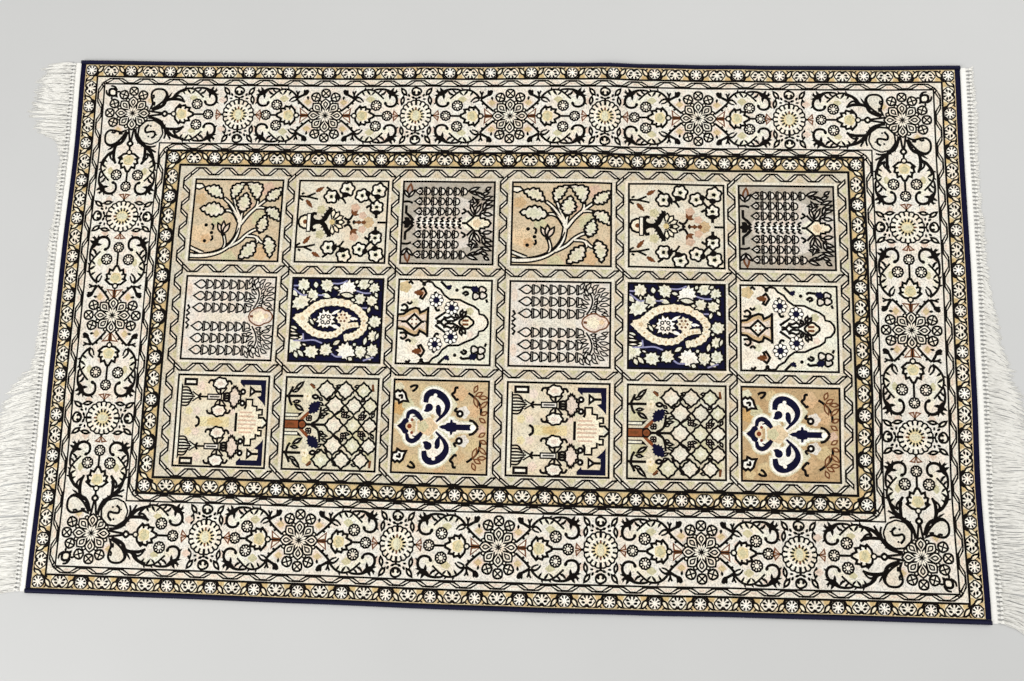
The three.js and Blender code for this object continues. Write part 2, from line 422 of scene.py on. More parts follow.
def guard_run(periods, period):
    """Vine, palmettes and rosettes along one side, from corner rosette to corner rosette."""
    d = Drawing()
    palmette = guard_palmette()
    vine = guard_vine(period)
    rosette = guard_rosette()
    for k in range(periods):
        middle = (k + 0.5) * period
        d.add(palmette, shift=middle)
        d.add(vine, shift=middle)
        d.add(vine, spin=-1, shift=middle, flip=True)
        if k:
            d.add(rosette, shift=k * period)
    return d


# Chain border and lattice ribbon

def ribbon(flats, spacing, height, flat, wide, dyes=(None, None), first=-1, skip=()):
    """Flat links, down or up at first, joined by slanted lozenges; the dyes fill the hollows."""
    d = Drawing()
    up = height / 2
    for k in range(flats + 1):
        sign = first if k % 2 == 0 else -first
        x = k * spacing
        dye = dyes[sign > 0]
        if dye and 0 < k < flats:
            foot = -sign * (up + 1.6)
            d.lay([complex(x - flat / 2 - 2.6, foot), complex(x + flat / 2 + 2.6, foot),
                   complex(x, sign * up * 0.1)], dye)
    for k in range(flats + 1):
        sign = first if k % 2 == 0 else -first
        x = k * spacing
        if k not in skip:
            d.line([complex(x - flat / 2, sign * up), complex(x + flat / 2, sign * up)], 0.9)
        if k < flats:
            start = x + flat / 2 - wide / 2
            stop = x + spacing - flat / 2 + wide / 2
            d.edged([complex(start, sign * up), complex(start + wide, sign * up), complex(stop, -sign * up),
                     complex(stop - wide, -sign * up)], "ivory", 0.6)
    return d


# Main border

def small_flower(radius):
    """Round of nine petals parted by dashes."""
    d = Drawing()
    d.edged(ring(0, radius - 0.4, 36, 9, 0.1), "ivory", 0.6)
    for ray in rays(9, 0.5):
        d.line([0.34 * radius * ray, 0.76 * radius * ray], 0.1)
    return d


def crossed_flower():
    """Four-petalled flower with a cross between the petals."""
    d = Drawing()
    radius = 6.6
    d.edged(ring(0, radius, 16, 4, 0.12, turn=45), "ivory", 0.7)
    for ray in rays(4, 0.5):
        d.line([0.2 * ray, 0.8 * radius * ray], 0.2)
    d.dot(0, 1.3)
    return d


def cluster(satellites=(90, 270)):
    """Star of eight drop petals with crossed satellites on the named sides."""
    d = Drawing()
    for side in satellites:
        for turn, out in ((-27, 31.2), (0, 33.6), (27, 31.2)):
            middle = cmath.rect(out, math.radians(side + turn))
            d.add(crossed_flower(), spin=facing(side + turn), shift=middle)
    for ray in rays(8, 0.5):
        d.edged(ring(21.4 * ray, 2.7, 6), "ivory", 0.2)
    for ray in rays(8):
        d.edged(leaf(6.0 * ray, 25.2 * ray, 13.4, 0.6, 7), "ivory", 0.4)
    for ray in rays(8):
        d.edged(leaf(11.6 * ray, 20.8 * ray, 5.4, 0.6, 6), "haze", 0.0)
    d.dot(0, 9.0, "ink", 16)
    for ray in rays(8, 0.5):
        d.lay(leaf(2.0 * ray, 10.4 * ray, 2.9, 0.6, 5), "ivory")
    for ray in rays(8):
        d.lay(leaf(3.4 * ray, 9.4 * ray, 1.9, 0.6, 4), "ivory")
    return d


def border_rosette():
    """Round of eighteen petals with dashes, a bud on each side and spindle leaves at its corners."""
    d = Drawing()
    d.lay(ring(0, 24.4, 72, 18, 0.07, 0.98), "ink")
    d.lay(ring(0, 22.0, 72, 18, 0.08, 0.98), "ivory")
    for ray in rays(18, 0.5):
        d.line([15.8 * ray, 21.8 * ray], 0.7)
    d.lay(ring(0, 10, 16, stretch=1.1), "butter")
    for k, ray in enumerate(rays(14, 0.5)):
        d.line([7.6 * ray, 12.6 * ray], 0.5, dye="umber" if k % 7 == 3 else "ink")
    d.lay(ring(0, 4.6, 16, 6, 0.1, 1.8, 90), "sage")
    side = Drawing()
    side.line([15.5j, 27j], 1.6)
    side.edged(ring(36.4j, 5.8, 24, 3, 0.12, 1.2), "ivory", 0.9)
    for sign in (-1, 1):
        side.leaves("ink", (25j, 7.4 * sign + 28.4j, 3.8, 0.6, 5), (28.4j, 6.4 * sign + 35.4j, 5.0, 0.6, 5))
        side.lay(ring(10.6 * sign + 30.4j, 1.8, 8, stretch=1.5, turn=60 * sign), "ink")
        side.lay(ring(11.6 * sign + 24.6j, 1.5, 8, stretch=1.6), "ink")
        side.edged(leaf(14.4 * sign + 31j, 21.6 * sign + 41j, 5.0, 0.5, 6), "ivory", 0.9)
        side.line([20.4 * sign + 35j, 17 * sign + 30j], 1.0)
        side.edged(leaf(20.6 * sign + 17j, 18.8 * sign + 28.6j, 4.4, 0.5, 6), "ivory", 0.9)
    side.dots((35.4j - 3.0, 1.9, "ink", 7), (35.4j + 3.0, 1.9, "ink", 7))
    d.both(side)
    return d


# How the scroll's stems and barbs were drawn out after they were sketched
STEM_THINNING = 0.7
BARB_REACH = 1.16
BARB_GIRTH = 0.88


def scroll():
    """Two serrated leaves that curl towards the rosette; places count from it, 131 to the cluster."""
    d = Drawing()
    d.leaves("pearl", (82+33j, 47+24j, 10.0, 0.45, 8, -5.5), (60+36j, 33+20j, 12.0, 0.55, 8, 5.0))
    strokes = (
        ([44.5+19.5j, 42.6+15.4j, 36.6+13.8j, 31+15.8j, 28.2+21j, 28.8+27j, 32.6+32.4j], 2.0, 3.0),
        ([36+34.6j, 42+38.6j, 49+40.2j, 58+39.8j, 62.6+37.6j], 3.0, 1.4),
        ([47+25.6j, 51.6+30j, 57+34.8j, 64+38.8j, 72+39.2j, 79+36.6j, 85+31.4j, 89+25.6j], 1.4, 2.2),
        ([89+26j, 84+27.6j, 79.6+25.4j, 76+21j], 2.4, 1.0), ([88+24.6j, 84+21.8j, 79+20.4j], 1.6, 0.8))
    for path, width, end in strokes:
        d.line(path, width - STEM_THINNING, end - STEM_THINNING, steps=4)
    d.lay(ring(44.4+18.6j, 2.4, 8, stretch=1.3, turn=70), "ink")
    barbs = (
        (29+31j, 43+37.6j, 9.6), (35+33j, 27.4+36.8j, 4.6), (37+35j, 33+42j, 4.6),
        (38+34j, 38.4+25.6j, 4.8), (33+31j, 26+30.4j, 4.0), (31+33j, 28.6+39.6j, 3.6),
        (44+38j, 48.4+31j, 3.6), (50+39.6j, 56+33.6j, 3.4), (52+30j, 48+34.4j, 3.2),
        (57+34j, 52+36.6j, 3.0), (60+36.5j, 65+31.4j, 3.4), (72+39j, 66.6+31.4j, 4.0),
        (79+37j, 75+30.6j, 3.6), (66+38.6j, 62.6+42.4j, 3.0), (75+38.4j, 73.6+43j, 3.0),
        (28+20j, 25+16.6j, 2.8))
    for base, tip, width in barbs:
        d.lay(leaf(base, base + (tip - base) * BARB_REACH, width * BARB_GIRTH, 0.4, 5), "ink")
    return d


def palmette():
    """Crown-shaped palmette opening towards the cluster, at the middle of its open side."""
    d = Drawing()
    half = [
        -1+3.4j, -1.8+8j, -5+11.6j, -7.4+14.4j, -10+12.2j, -15.2+13.6j, -16.8+10.4j, -22.6+9.6j, -21+5.2j,
        -27.5+1.8j]
    d.edged(half + mirror(half[::-1]), "ivory")
    d.lay(ring(-10.6, 8.4, 20, 5, 0.2), "butter")
    d.lay(ring(-11.0, 5.6, 20, 4, 0.24, 0.8), "moss")
    for sign in (-1, 1):
        d.strokes(
            ([-8.4 + 12.4j * sign, -9.6 + 8.4j * sign], 0.9),
            ([-16.4 + 10.8j * sign, -15.4 + 7.4j * sign], 0.9))
    d.edged(ring(0.8, 3.5, 10), "ivory", 0.4)
    return d


def twigs(end):
    """Stem from the cluster at the end out to the scroll's root, with its forked twigs and thick bud."""
    d = Drawing()
    d.strokes(
        ([end - 42.4 + 25j, end - 38 + 20j, end - 32 + 14.4j, end - 23 + 6.8j], 1.6, 1.2),
        ([end - 37 + 19.4j, end - 40.6 + 17.6j], 1.2), ([end - 31 + 13.6j, end - 34.6 + 11.4j], 1.2),
        ([end - 42.4 + 25.4j, end - 37 + 28.6j, end - 31 + 31.8j], 2.2, 1.6))
    d.lay(ring(end - 29 + 34.6j, 3.6, 12, stretch=1.5, turn=55), "ink")
    d.leaves("ink", (end - 31 + 33j, end - 31.6 + 39.6j, 3.4), (end - 29 + 34j, end - 24.4 + 37.6j, 3.4))
    d.strokes(
        ([end - 41.6 + 27j, end - 41 + 32j, end - 43.6 + 37.6j], 1.2, 0.6),
        ([end - 41 + 32j, end - 38.6 + 37j], 1.2, 0.6))
    d.lay(leaf(end - 26.4 + 29.6j, end - 25.4 + 23j, 3.6, 0.4, 5), "ink")
    return d


def border_unit(length, corner=False):
    """All that lies between a rosette, at the origin, and the cluster or corner at length."""
    d = Drawing()
    heart = 94.0 if corner else length - 42.6
    stretch = 1.06 if corner else length / 131
    half = Drawing()
    for centre, radius, dye in (
            (length - 25 + 20j, 7.4, "shell"), (66+25j, 5.6, "moss"), (24+22j, 5.0, "blush"),
            (length - 26 + 20j, 4.4, "gold"), (44+36j, 4.0, "shell"), (80+10j, 4.4, "blush")):
        half.lay(ring(centre, radius, 16, 4, 0.35, 1.2), dye)
    if corner:
        half.add(scroll(), shift=5)
    else:
        half.fit(scroll(), (0, 131), (0, length))
        half.add(twigs(length))
    half.add(small_flower(7.7), shift=complex(57.6 * stretch, 15.6))
    d.both(half)
    d.line([heart - 27, 44 * stretch], 1.2)
    d.add(small_flower(7.3), shift=41.6 * stretch)
    for sign in (-1, 1):
        d.edged([25.0 + 0.2j * sign, 31.6 + 7.4j * sign, 32.6 + 1.6j * sign], "shell", 0.1, "umber")
    d.line([22.5, 26], 1.2)
    d.add(palmette(), shift=heart)
    if corner:
        d.line([heart + 4.5, length - 42], 1.2)
        d.edged(ring(108, 3.8, 16, 4, 0.16), "ivory")
        for sign in (-1, 1):
            d.line([112 + 1.0j * sign, length - 22 + 4.0j * sign], 1.2)
    else:
        d.line([heart + 4.5, length - 22.5], 0.2)
        for sign in (-1, 1):
            kite = [length - 25.0 + 1.4j * sign, length - 36.4 + 10.6j * sign, length - 35.4 + 2.0j * sign]
            d.edged(kite, "ivory", 0.3, "umber")
    return d


def corner_flower():
    """Corner of the main border; the rug's own corner lies towards -1+1j."""
    d = Drawing()
    d.add(cluster(satellites=(90, 180)))
    bud = Drawing()
    bud.edged(ring(1, 5.6, 20, 4, 0.1, 1.1), "ivory", 1.6)
    for sign in (-1, 1):
        bud.line([3 + 6j * sign, -3.4 + 7.6j * sign, -8.6 + 4.6j * sign], 2.2, 0.4)
        bud.lay(leaf(4 + 5j * sign, 9.4 + 9.6j * sign, 3.4, 0.4, 4), "ink")
    bud.lay(leaf(5, 12.4, 4.6, 0.4, 5), "ink")
    d.add(bud, spin=facing(-45), shift=-32+32j)
    arm = Drawing()
    comma = curve(
        [26+7j, 29+15j, 27+23j, 26.5+31j, 31+36.4j, 38+37.6j, 45+36j, 48.6+30j, 46.5+22.5j, 41+16j,
         34+10.5j], 3)
    arm.edged(comma, "haze", 1.3)
    arm.strokes(([27+22j, 30+25j, 29+29j], 1.2), ([28+14j, 31.5+17j, 31+12j], 1.1))
    arm.line([
        28+5.6j, 38+8.8j, 45+13.5j, 49+20.5j, 58+23.5j, 63+30.5j, 71+36j, 78+37.4j], 2.6, 1.6, bulge=0.8)
    for base, tip in ((36+8.5j, 31+11.5j), (41+11j, 37.5+15j), (45+14.5j, 41.5+19j), (49+19j, 45+25j)):
        arm.lay(leaf(base, tip, 2.8, 0.4, 4), "ink")
    arm.line([49+21j, 50+29j, 47.5+34.5j], 1.5, 1.0)
    arm.lay(leaf(50+22j, 57+33.5j, 3.0, 0.5, 5), "ink")
    arm.line([50+21.5j, 60+22.5j, 68+22j, 76.5+18.5j], 1.8, 1.4, bulge=1.2)
    arm.strokes(([66+10.5j, 71+10.5j], 1.5), ([59+25j, 67+33j, 78+37j], 1.0))
    d.add(arm)
    d.add(arm, spin=-1j, flip=True)
    # the round curl on the inner diagonal, with the serrated stems that leave it on both sides
    curl = Drawing()
    curl.lay(ring(40, 19.6, 36, 9, 0.05), "ink")
    curl.lay(ring(40.3, 17.0, 36, 9, 0.06), "haze")
    curl.line([30+6j, 31-2j, 36-4.5j, 39.5+0.5j, 44+4.5j, 48.5+1j, 48-5j], 1.4)
    curl.dot(33.5+6.5j, 1.6)
    curl.dot(43-6.5j, 1.6)
    curl.dot(49.5+4j, 1.3)
    d.add(curl, spin=facing(-45))
    stem = Drawing()
    stem.line([23.5-6j, 33-7.5j, 42-12j, 47-19j, 52-25j, 60-32.5j, 71-36.5j, 78-37.4j], 1.8, 1.4, bulge=1.8)
    stem.line([49-22j, 58-23j, 70-22.6j, 77-18.6j], 1.6, 1.5, bulge=1.2)
    stem.strokes(([49-22j, 53-29j, 58.5-39j], 2.2, 0.8), ([49-22j, 50.5-31j, 49-38j], 1.6, 0.7))
    for base, tip in ((37-9.5j, 34-6j), (43-13j, 46.5-10j), (47-19j, 51-16j)):
        stem.lay(leaf(base, tip, 2.6, 0.4, 4), "ink")
    d.add(stem)
    d.add(stem, spin=-1j, flip=True)
    return d


# Garden panels, in the rug's own millimetres for the first of each pair

def toothed(base, tip, width, full, teeth, bite=0.9):
    """Leaf with a toothed edge."""
    outline = leaf(base, tip, width, full, 2 * teeth)
    middle = (base + tip) / 2
    points = []
    for k, point in enumerate(outline):
        out = point - middle
        points.append(point + (bite if k % 2 else -0.2) * out / (abs(out) or 1))
    return points


def lobed(base, tip, width, full, lobes, bow, bite):
    """Leaf with rounded lobes along both edges."""
    steps = 4 * lobes
    outline = leaf(base, tip, width, full, steps, bow)
    run = (tip - base) / abs(tip - base)
    points = []
    for k, point in enumerate(outline):
        side = 1 if k < steps else -1
        share = abs(math.sin(math.pi * lobes * k / steps))
        points.append(point + bite * (share - 0.5) * 1j * run * side * (0 < k != steps))
    return points


def cloud(centre, radius, turn):
    """Blossom of six rounded lobes, dark on the side it grows from."""
    d = Drawing()
    d.edged(ring(centre, radius, 36, 6, 0.24, 1.08, turn), "ivory", 1.0)
    d.lay(ring(centre, 0.45 * radius, 15, 5, 0.3), "sage")
    away = facing(turn)
    d.lay(ring(centre - 0.72 * radius * away, 0.3 * radius, 7, stretch=1.5, turn=turn + 90), "ink")
    for step in (-1, 0, 1):
        spoke = away * cmath.rect(1, 0.8 * step)
        d.line([centre - 0.25 * radius * away + 0.1 * radius * spoke, centre + 0.28 * radius * spoke], 0.1)
    return d


def tree_panel():
    """Pale tree with lobed leaves that leans across the panel."""
    d = Drawing()
    d.blots(
        (-436+170j, 9, "tan"), (-432+120j, 15, "apricot"), (-424+112j, 8, "peach"), (-340+186j, 11, "rose"),
        (-350+143j, 12, "moss"), (-390+84j, 12, "moss"), (-345+92j, 11, "peach"), (-366+163j, 8, "rose"),
        (-410+140j, 9, "moss"))
    branches = (
        ([-449+88j, -425+88j, -405+93j, -390+103j, -381+116j, -378+130j, -376.5+143j], 5.0, 4.0),
        ([-449+101j, -438+96j, -426+91j], 3.2, 3.0),
        ([-390+101j, -376+109j, -366+119j, -355+126j, -346+126j], 3.2, 2.6),
        ([-377+138j, -383+149j, -393+163j, -403+172j], 3.4, 2.4),
        ([-378+136j, -386+149j, -394+153.5j, -400+153j], 3.0, 2.4),
        ([-376+143j, -375.5+148j, -374+153j], 2.8, 2.0), ([-377.5+143j, -383+156j, -389+172j], 3.0, 2.2),
        ([-376+134j, -366+148j, -354+160j, -341+171j], 3.6, 2.4),
        ([-355+158j, -348+158.5j, -340+157j], 2.4, 2.0), ([-356+158j, -354+164j, -354+171j], 2.4, 2.0),
        ([-366+117j, -354+116j, -350+110j, -352+107j], 2.6, 2.2),
        ([-352+116j, -344+108j, -338+110j, -334+114j], 2.6, 2.0),
        ([-399+96j, -396+106j, -399+119j], 2.4, 1.6))
    for path, width, end in branches:
        d.lay(band(curve(path, 4), width + 4.2, end + 4.2), "ink")
    for path, width, end in branches:
        d.lay(band(curve(path, 4), width - 0.4, end - 0.5), "ivory")
    d.strokes(
        ([-440+90j, -412+92.5j, -394+101j, -384+113j, -378+128j], 0.0),
        ([-381+139j, -388+150j, -397+162j], 0.1))
    leaves = (
        (-404+172j, -432+187j, 16, 0.5, -3), (-400+152j, -436+156j, 20, 0.45, -1),
        (-391+171j, -374+195j, 14, 0.45, 4), (-354+170j, -372+195j, 18, 0.45, -7),
        (-376+152j, -371+180j, 19, 0.42, 0), (-342+170j, -320+188j, 15, 0.42, -1),
        (-342+157j, -320+139j, 15, 0.42, 3), (-348+122j, -341+148j, 15, 0.42, 0),
        (-353+109j, -375+84j, 18, 0.45, 2), (-337+117j, -331+86j, 16, 0.42, 2))
    for base, tip, width, full, bow in leaves:
        d.edged(lobed(base, tip, width, full, 5, bow, 2.7), "margin", 0.9)
        d.lay(lobed(lerp(base, tip, 0.2), lerp(base, tip, 0.82), 0.56 * width, 0.5, 4, bow, 3.0), "sage")
        d.dot(base, 2.6, "ink", 7)
    d.edged([-432+188j, -436+192.5j, -446+193j, -447+186.5j, -440+184j], "ivory", 0.5)
    for tip in (-408.5+135j, -400+138j, -391.5+135j):
        d.edged(leaf(-400+119.5j, tip, 6.6, 0.5, 6), "shell", 0.7)
    d.dot(-400+119j, 3.2, "ink", 8)
    for place in (-425+132j, -416.5+121j, -425.5+109j):
        d.dot(place, 2.7, steps=8)
    d.strokes(
        ([-418+134j, -414.5+131j, -415.5+125j], 1.2), ([-417.5+109.5j, -414.5+112j, -415.5+117j], 1.2))
    return d


def vase_panel():
    """Footed vase with a scrolling stem between blossoms."""
    d = Drawing()
    middle = 139j
    d.lay(ring(-195 + middle, 9.0, 20, 8, 0.3), "tan")
    d.lay(ring(-201 + middle, 3.6, 12, 5, 0.4), "brown")
    for centre, radius in ((-214+21j, 7), (-203+10j, 6)):
        half = ring(centre, radius, 20, 5, 0.3)
        d.lay([p + middle for p in half], "rose")
        d.lay([p + middle for p in mirror(half)], "rose")
    half = Drawing()
    half.blots((-262+18j, 7, "moss"))
    for x, y, radius, turn in (
            (-249, 37, 10.0, 180), (-227, 48, 10.4, 70), (-205, 39, 9.8, 200), (-182, 46, 10.8, 80),
            (-184, 22, 9.6, 90)):
        half.add(cloud(complex(x, y), radius, turn))
    half.lay(leaf(-238+30j, -241+44j, 5.0, 0.5, 6), "ink")
    half.strokes(
        ([-241+36j, -233+34j, -228+27j], 1.4, 0.8), ([-234+34j, -229+42j, -221+38j], 1.8, 1.0),
        ([-197+36j, -192+30j, -187+26j], 1.7, 1.0), ([-199+21j, -194+24j, -191+19j], 1.6),
        ([-184+6j, -184+14j], 2.2), ([-190+13.5j, -184+16j, -178+13.5j], 2.4), ([-257+51j, -250+46j], 1.4),
        ([-298+37j, -284+36.5j, -268+33j], 1.4, 0.9), ([-284+36.5j, -272+42j], 1.3, 0.8),
        ([-292+40j, -288+42j], 1.1), ([-297+36j, -289+31j], 1.3, 0.8))
    half.lay(toothed(-272+44j, -260+51j, 5.5, 0.4, 4), "umber")
    half.lay(toothed(-285+32j, -275+20j, 5.5, 0.4, 4), "umber")
    for base, tip in (
            (-257+5j, -262+9j), (-254+9j, -259+13j), (-251+14j, -256+17.6j), (-249+18j, -252.6+22.6j)):
        half.lay(leaf(base, tip, 3.4, 0.4, 4), "ink")
    # stem scroll, wings and tulips above the vase
    half.line([-262+0.8j, -270+1.5j, -275+6j, -273+12j, -268+11.5j], 2.6, 2.2, bulge=0.6)
    half.line([-262+1.2j, -257+4j, -254+10j, -250+17j, -247+21j], 3.0, 1.2, bulge=3.0)
    half.line([-229+6.5j, -225+4j, -221+4.5j, -218+9j, -216+14j], 1.8, 1.2)
    half.leaves(
        "brown", (-217+11j, -210+17j, 5.0, 0.4, 5), (-217+11j, -219+19j, 4.0, 0.4, 5),
        (-217+11j, -208+11j, 4.0, 0.4, 5))
    d.both(half, shift=middle)
    d.edged(ring(-284 + middle, 10.0, 20, 8, 0.1), "cream", 1.2)
    d.dot(-284 + middle, 3.4, "umber", 10)
    d.lay(box(-282.5, 124, -275.4, 152), "ink")
    d.lay(box(-280.9, 125.8, -277.2, 150.2), "ivory")
    d.line([-268 + middle, -256 + middle], 2.2)
    for k in range(-3, 4):
        ray = facing(27 * k)
        d.edged(leaf(-247 + middle + 3 * ray, -247 + middle + 18.5 * ray, 6.6, 0.66, 6), "cream", 0.3)
    d.dot(-246 + middle, 4.0, "straw", 10)
    d.line([-241 + middle, -236 + middle], 1.8)
    for place in (-222, -214, -207):
        d.line([place - 3 + middle, place + 2 + middle], 1.6)
        d.line([place - 2 + 2.5j + middle, place + 1 + middle, place - 2 - 2.5j + middle], 1.3, smooth=False)
    d.lay(leaf(-215 + middle, -203 + middle, 4.6, 0.6, 6), "brown")
    d.line([-182 + middle, -169 + middle], 1.3)
    return d


def cup(d, x, y, side, line):
    """A cup behind the bar at x, with its side given by places along and off its row."""
    near = [complex(x + out, y - off) for out, off in side]
    far = [complex(p.real, 2 * y - p.imag) for p in near[::-1]]
    d.edged(near + far, "pale", line)


def chain_row(stop, y):
    """Bead chain along a row: an onion-shaped leaf, then cups behind bars."""
    d = Drawing()
    d.edged(leaf(complex(-130.5, y), complex(-119.5, y), 8.4, 0.6, 6), "pale", 0.4)
    d.lay(leaf(complex(-126.5, y), complex(-121.6, y), 2.6, 0.6, 4), "ink")
    for sign in (-1, 1):
        d.line([complex(-125, y + 5.4 * sign), complex(-119, y + 4.4 * sign)], 0.1)
    x = -117
    while x < stop:
        d.line([complex(x, y - 5.8), complex(x, y + 5.8)], 0.5)
        d.line([complex(x, y), complex(x + 3.4, y)], 0.0)
        cup(d, x, y, ((2.6, 4.6), (6.0, 4.4), (8.2, 1.4)), 0.2)
        for sign in (-1, 1):
            d.line([complex(x, y + 5.8 * sign), complex(x + 3.4, y + 6.2 * sign)], 0.1)
        x += 10.4
    return d


def chain_panel():
    """Rows of small cups beside a bud with feathered leaves."""
    d = Drawing()
    middle = 139.5j
    d.lay(ring(-80 + middle, 42, 32, 8, 0.12, 1.25), "panel_c_inner")
    d.lay(box(-126, 135.6, -62, 143.4), "chalk")
    d.lay(leaf(-64 + middle, -26 + middle, 22, 0.4, 8), "pearl")
    d.lay(ring(-28 + middle, 20, 20, 5, 0.12), "panel_c_inner")
    half = Drawing()
    for y, stop in ((45.5, -58), (31, -66), (16.5, -72)):
        half.add(chain_row(stop, y))
    for k in range(8):
        x = -127 + 8.2 * k
        half.line([x + 1.2j, x + 4.8 + 2.6j, x + 2.2 + 5.6j, x + 6.8 + 8.2j], 0.8)
    # feathered leaves to the right
    for base, tip, width in (
            (-56+46j, -40+52j, 4.4), (-52+44j, -34+42j, 4.4), (-45+44j, -30+36j, 4.2),
            (-54+31j, -40+34j, 4.4), (-49+38j, -43+26j, 3.8), (-52+22j, -40+31j, 4.0),
            (-46+12j, -52+28j, 4.2), (-45+13j, -37+28j, 4.6), (-34+14j, -21+12j, 5.0),
            (-31+48j, -24+52j, 4.2), (-36+41j, -26+45j, 4.2), (-36+34j, -21+39j, 4.2),
            (-34+28j, -20+33j, 4.2), (-33+22j, -20+26j, 4.2), (-34+19j, -30+31j, 4.2),
            (-38+14j, -30+19j, 3.6)):
        half.edged(leaf(base, tip, width, 0.5, 5), "pale", 0.7)
    half.strokes(([-56+18j, -46+9j, -36+13j], 1.4), ([-64+13j, -58+17j, -62+21j], 1.3))
    # bud and its angled stem on the left
    half.line([-131+2.5j, -136+9j, -142+14j, -142+25j], 2.4, 2.0, smooth=False)
    half.line([-147.5+30j, -139+30.5j, -133+28.5j], 1.4)
    half.edged(leaf(-139+38j, -137+56j, 7.0, 0.5, 6), "mauve", 0.9, "brown")
    half.leaves("pale", (-139+37j, -146+47j, 4.4, 0.5, 5), (-139+37j, -131+47j, 4.4, 0.5, 5), line=0.7)
    d.both(half, shift=middle)
    blob = [-57+0j, -50+6j, -45+11j, -38+10.5j, -37+7j, -31+7.5j, -31+5.4j, -26+5j, -22.5+0j]
    outline = blob + mirror(blob[-2:0:-1])
    d.edged([point + middle for point in outline], "cream", 1.0)
    d.blots((-42 + middle, 6.4, "apricot"))
    d.line([-63 + middle, -56 + middle], 1.6)
    for ray in (-1, cmath.rect(1, 2.4), cmath.rect(1, -2.4)):
        d.lay(leaf(-134 + middle, -136 + middle + 11 * ray, 7.4, 0.6, 6), "ink")
    d.lay(leaf(-146 + middle, -129 + middle, 8, 0.5, 6), "ink")
    return d


def cup_row(y, links):
    """Wide cups behind a pointed leaf."""
    d = Drawing()
    d.edged(leaf(complex(19, y), complex(37.5, y), 12.0, 0.6, 7), "pale", 0.3)
    d.lay(ring(complex(28, y), 2.6, 15, 5, 0.3), "shell")
    for k in range(links):
        x = 37.4 + 12.2 * k
        d.line([complex(x, y - 6.8), complex(x, y + 6.8)], 0.2)
        cup(d, x, y, ((2.4, 5.2), (6.4, 5.0), (9.6, 2.6), (10.2, 0.6)), 0.1)
        for sign in (-1, 1):
            d.line([complex(x, y + 6.8 * sign), complex(x + 3.6, y + 6.2 * sign)], -0.1)
    return d


def cup_panel():
    """Rows of wide cups beside a fruit in a fan of leaves."""
    d = Drawing()
    half = Drawing()
    for y, links in ((46.2, 7), (29.6, 6), (13.0, 6)):
        half.add(cup_row(y, links))
    for base, tip, width in (
            (104+47j, 109+56j, 4.0), (112+46j, 118+56j, 4.0), (120+46j, 128+54j, 4.0),
            (127+43j, 137+49j, 4.0), (131+37j, 142+43j, 4.0), (131+31j, 143+35j, 4.0),
            (130+25j, 143+26j, 4.0), (128+19j, 140+17j, 4.0), (122+40j, 125+49j, 3.6),
            (123+33j, 130+41j, 3.6), (122+26j, 131+31j, 3.6), (120+20j, 129+22j, 3.6),
            (115+39j, 110+47j, 3.6), (116+33j, 108+40j, 3.6), (115+27j, 105+33j, 3.6),
            (113+22j, 103+26j, 3.6), (111+17j, 100+19j, 3.6), (118+15j, 126+14j, 3.4),
            (106+27j, 98+23j, 3.0), (133+13j, 142+11j, 3.4)):
        half.edged(leaf(base, tip, width + 0.6, 0.5, 5, 1.0), "pale", -0.1)
    half.strokes(([112+12j, 118+22j, 120+33j, 116+43j], 0.6), ([124+14j, 126+26j, 127+36j], 0.2))
    half.line([10+1j, 15+5j, 10.5+8.5j, 14.5+12j, 11.5+17j], 1.6, smooth=False)
    half.lay(ring(13+38j, 4.6, 12, stretch=2.0, turn=90), "shell")
    d.both(half, shift=0.6j)
    blob = [106+0j, 108+5.5j, 112+8.8j, 118+12j, 125+12.5j, 130+9.6j, 134+8.6j, 139+6.5j, 142.5+0j]
    outline = blob + mirror(blob[-2:0:-1])
    d.edged([point + 2j for point in curve(outline + outline[:1], 2)[:-1]], "shell", 0.1, "brown")
    d.lay(ring(121+2j, 8.5, 20, 5, 0.3, 1.2), "cream")
    d.lay(ring(133+3j, 4.0, 15, 5, 0.3), "apricot")
    d.line([108+2.5j, 113+2j], 1.4, dye="brown")
    d.lay(box(40, -5.4, 98, 6.2), "haze")
    return d


def shaggy(centre, radius, spikes=9, stretch=1.0, turn=0.0):
    """Spiky flower head, its spikes of uneven length."""
    points = []
    for k in range(2 * spikes):
        size = radius * (1.16 + 0.14 * math.sin(2.3 * k + centre.real) if k % 2 else 0.86)
        ray = cmath.rect(size, math.pi * k / spikes)
        points.append(complex(stretch * ray.real, ray.imag))
    return [centre + point * facing(turn) for point in points]


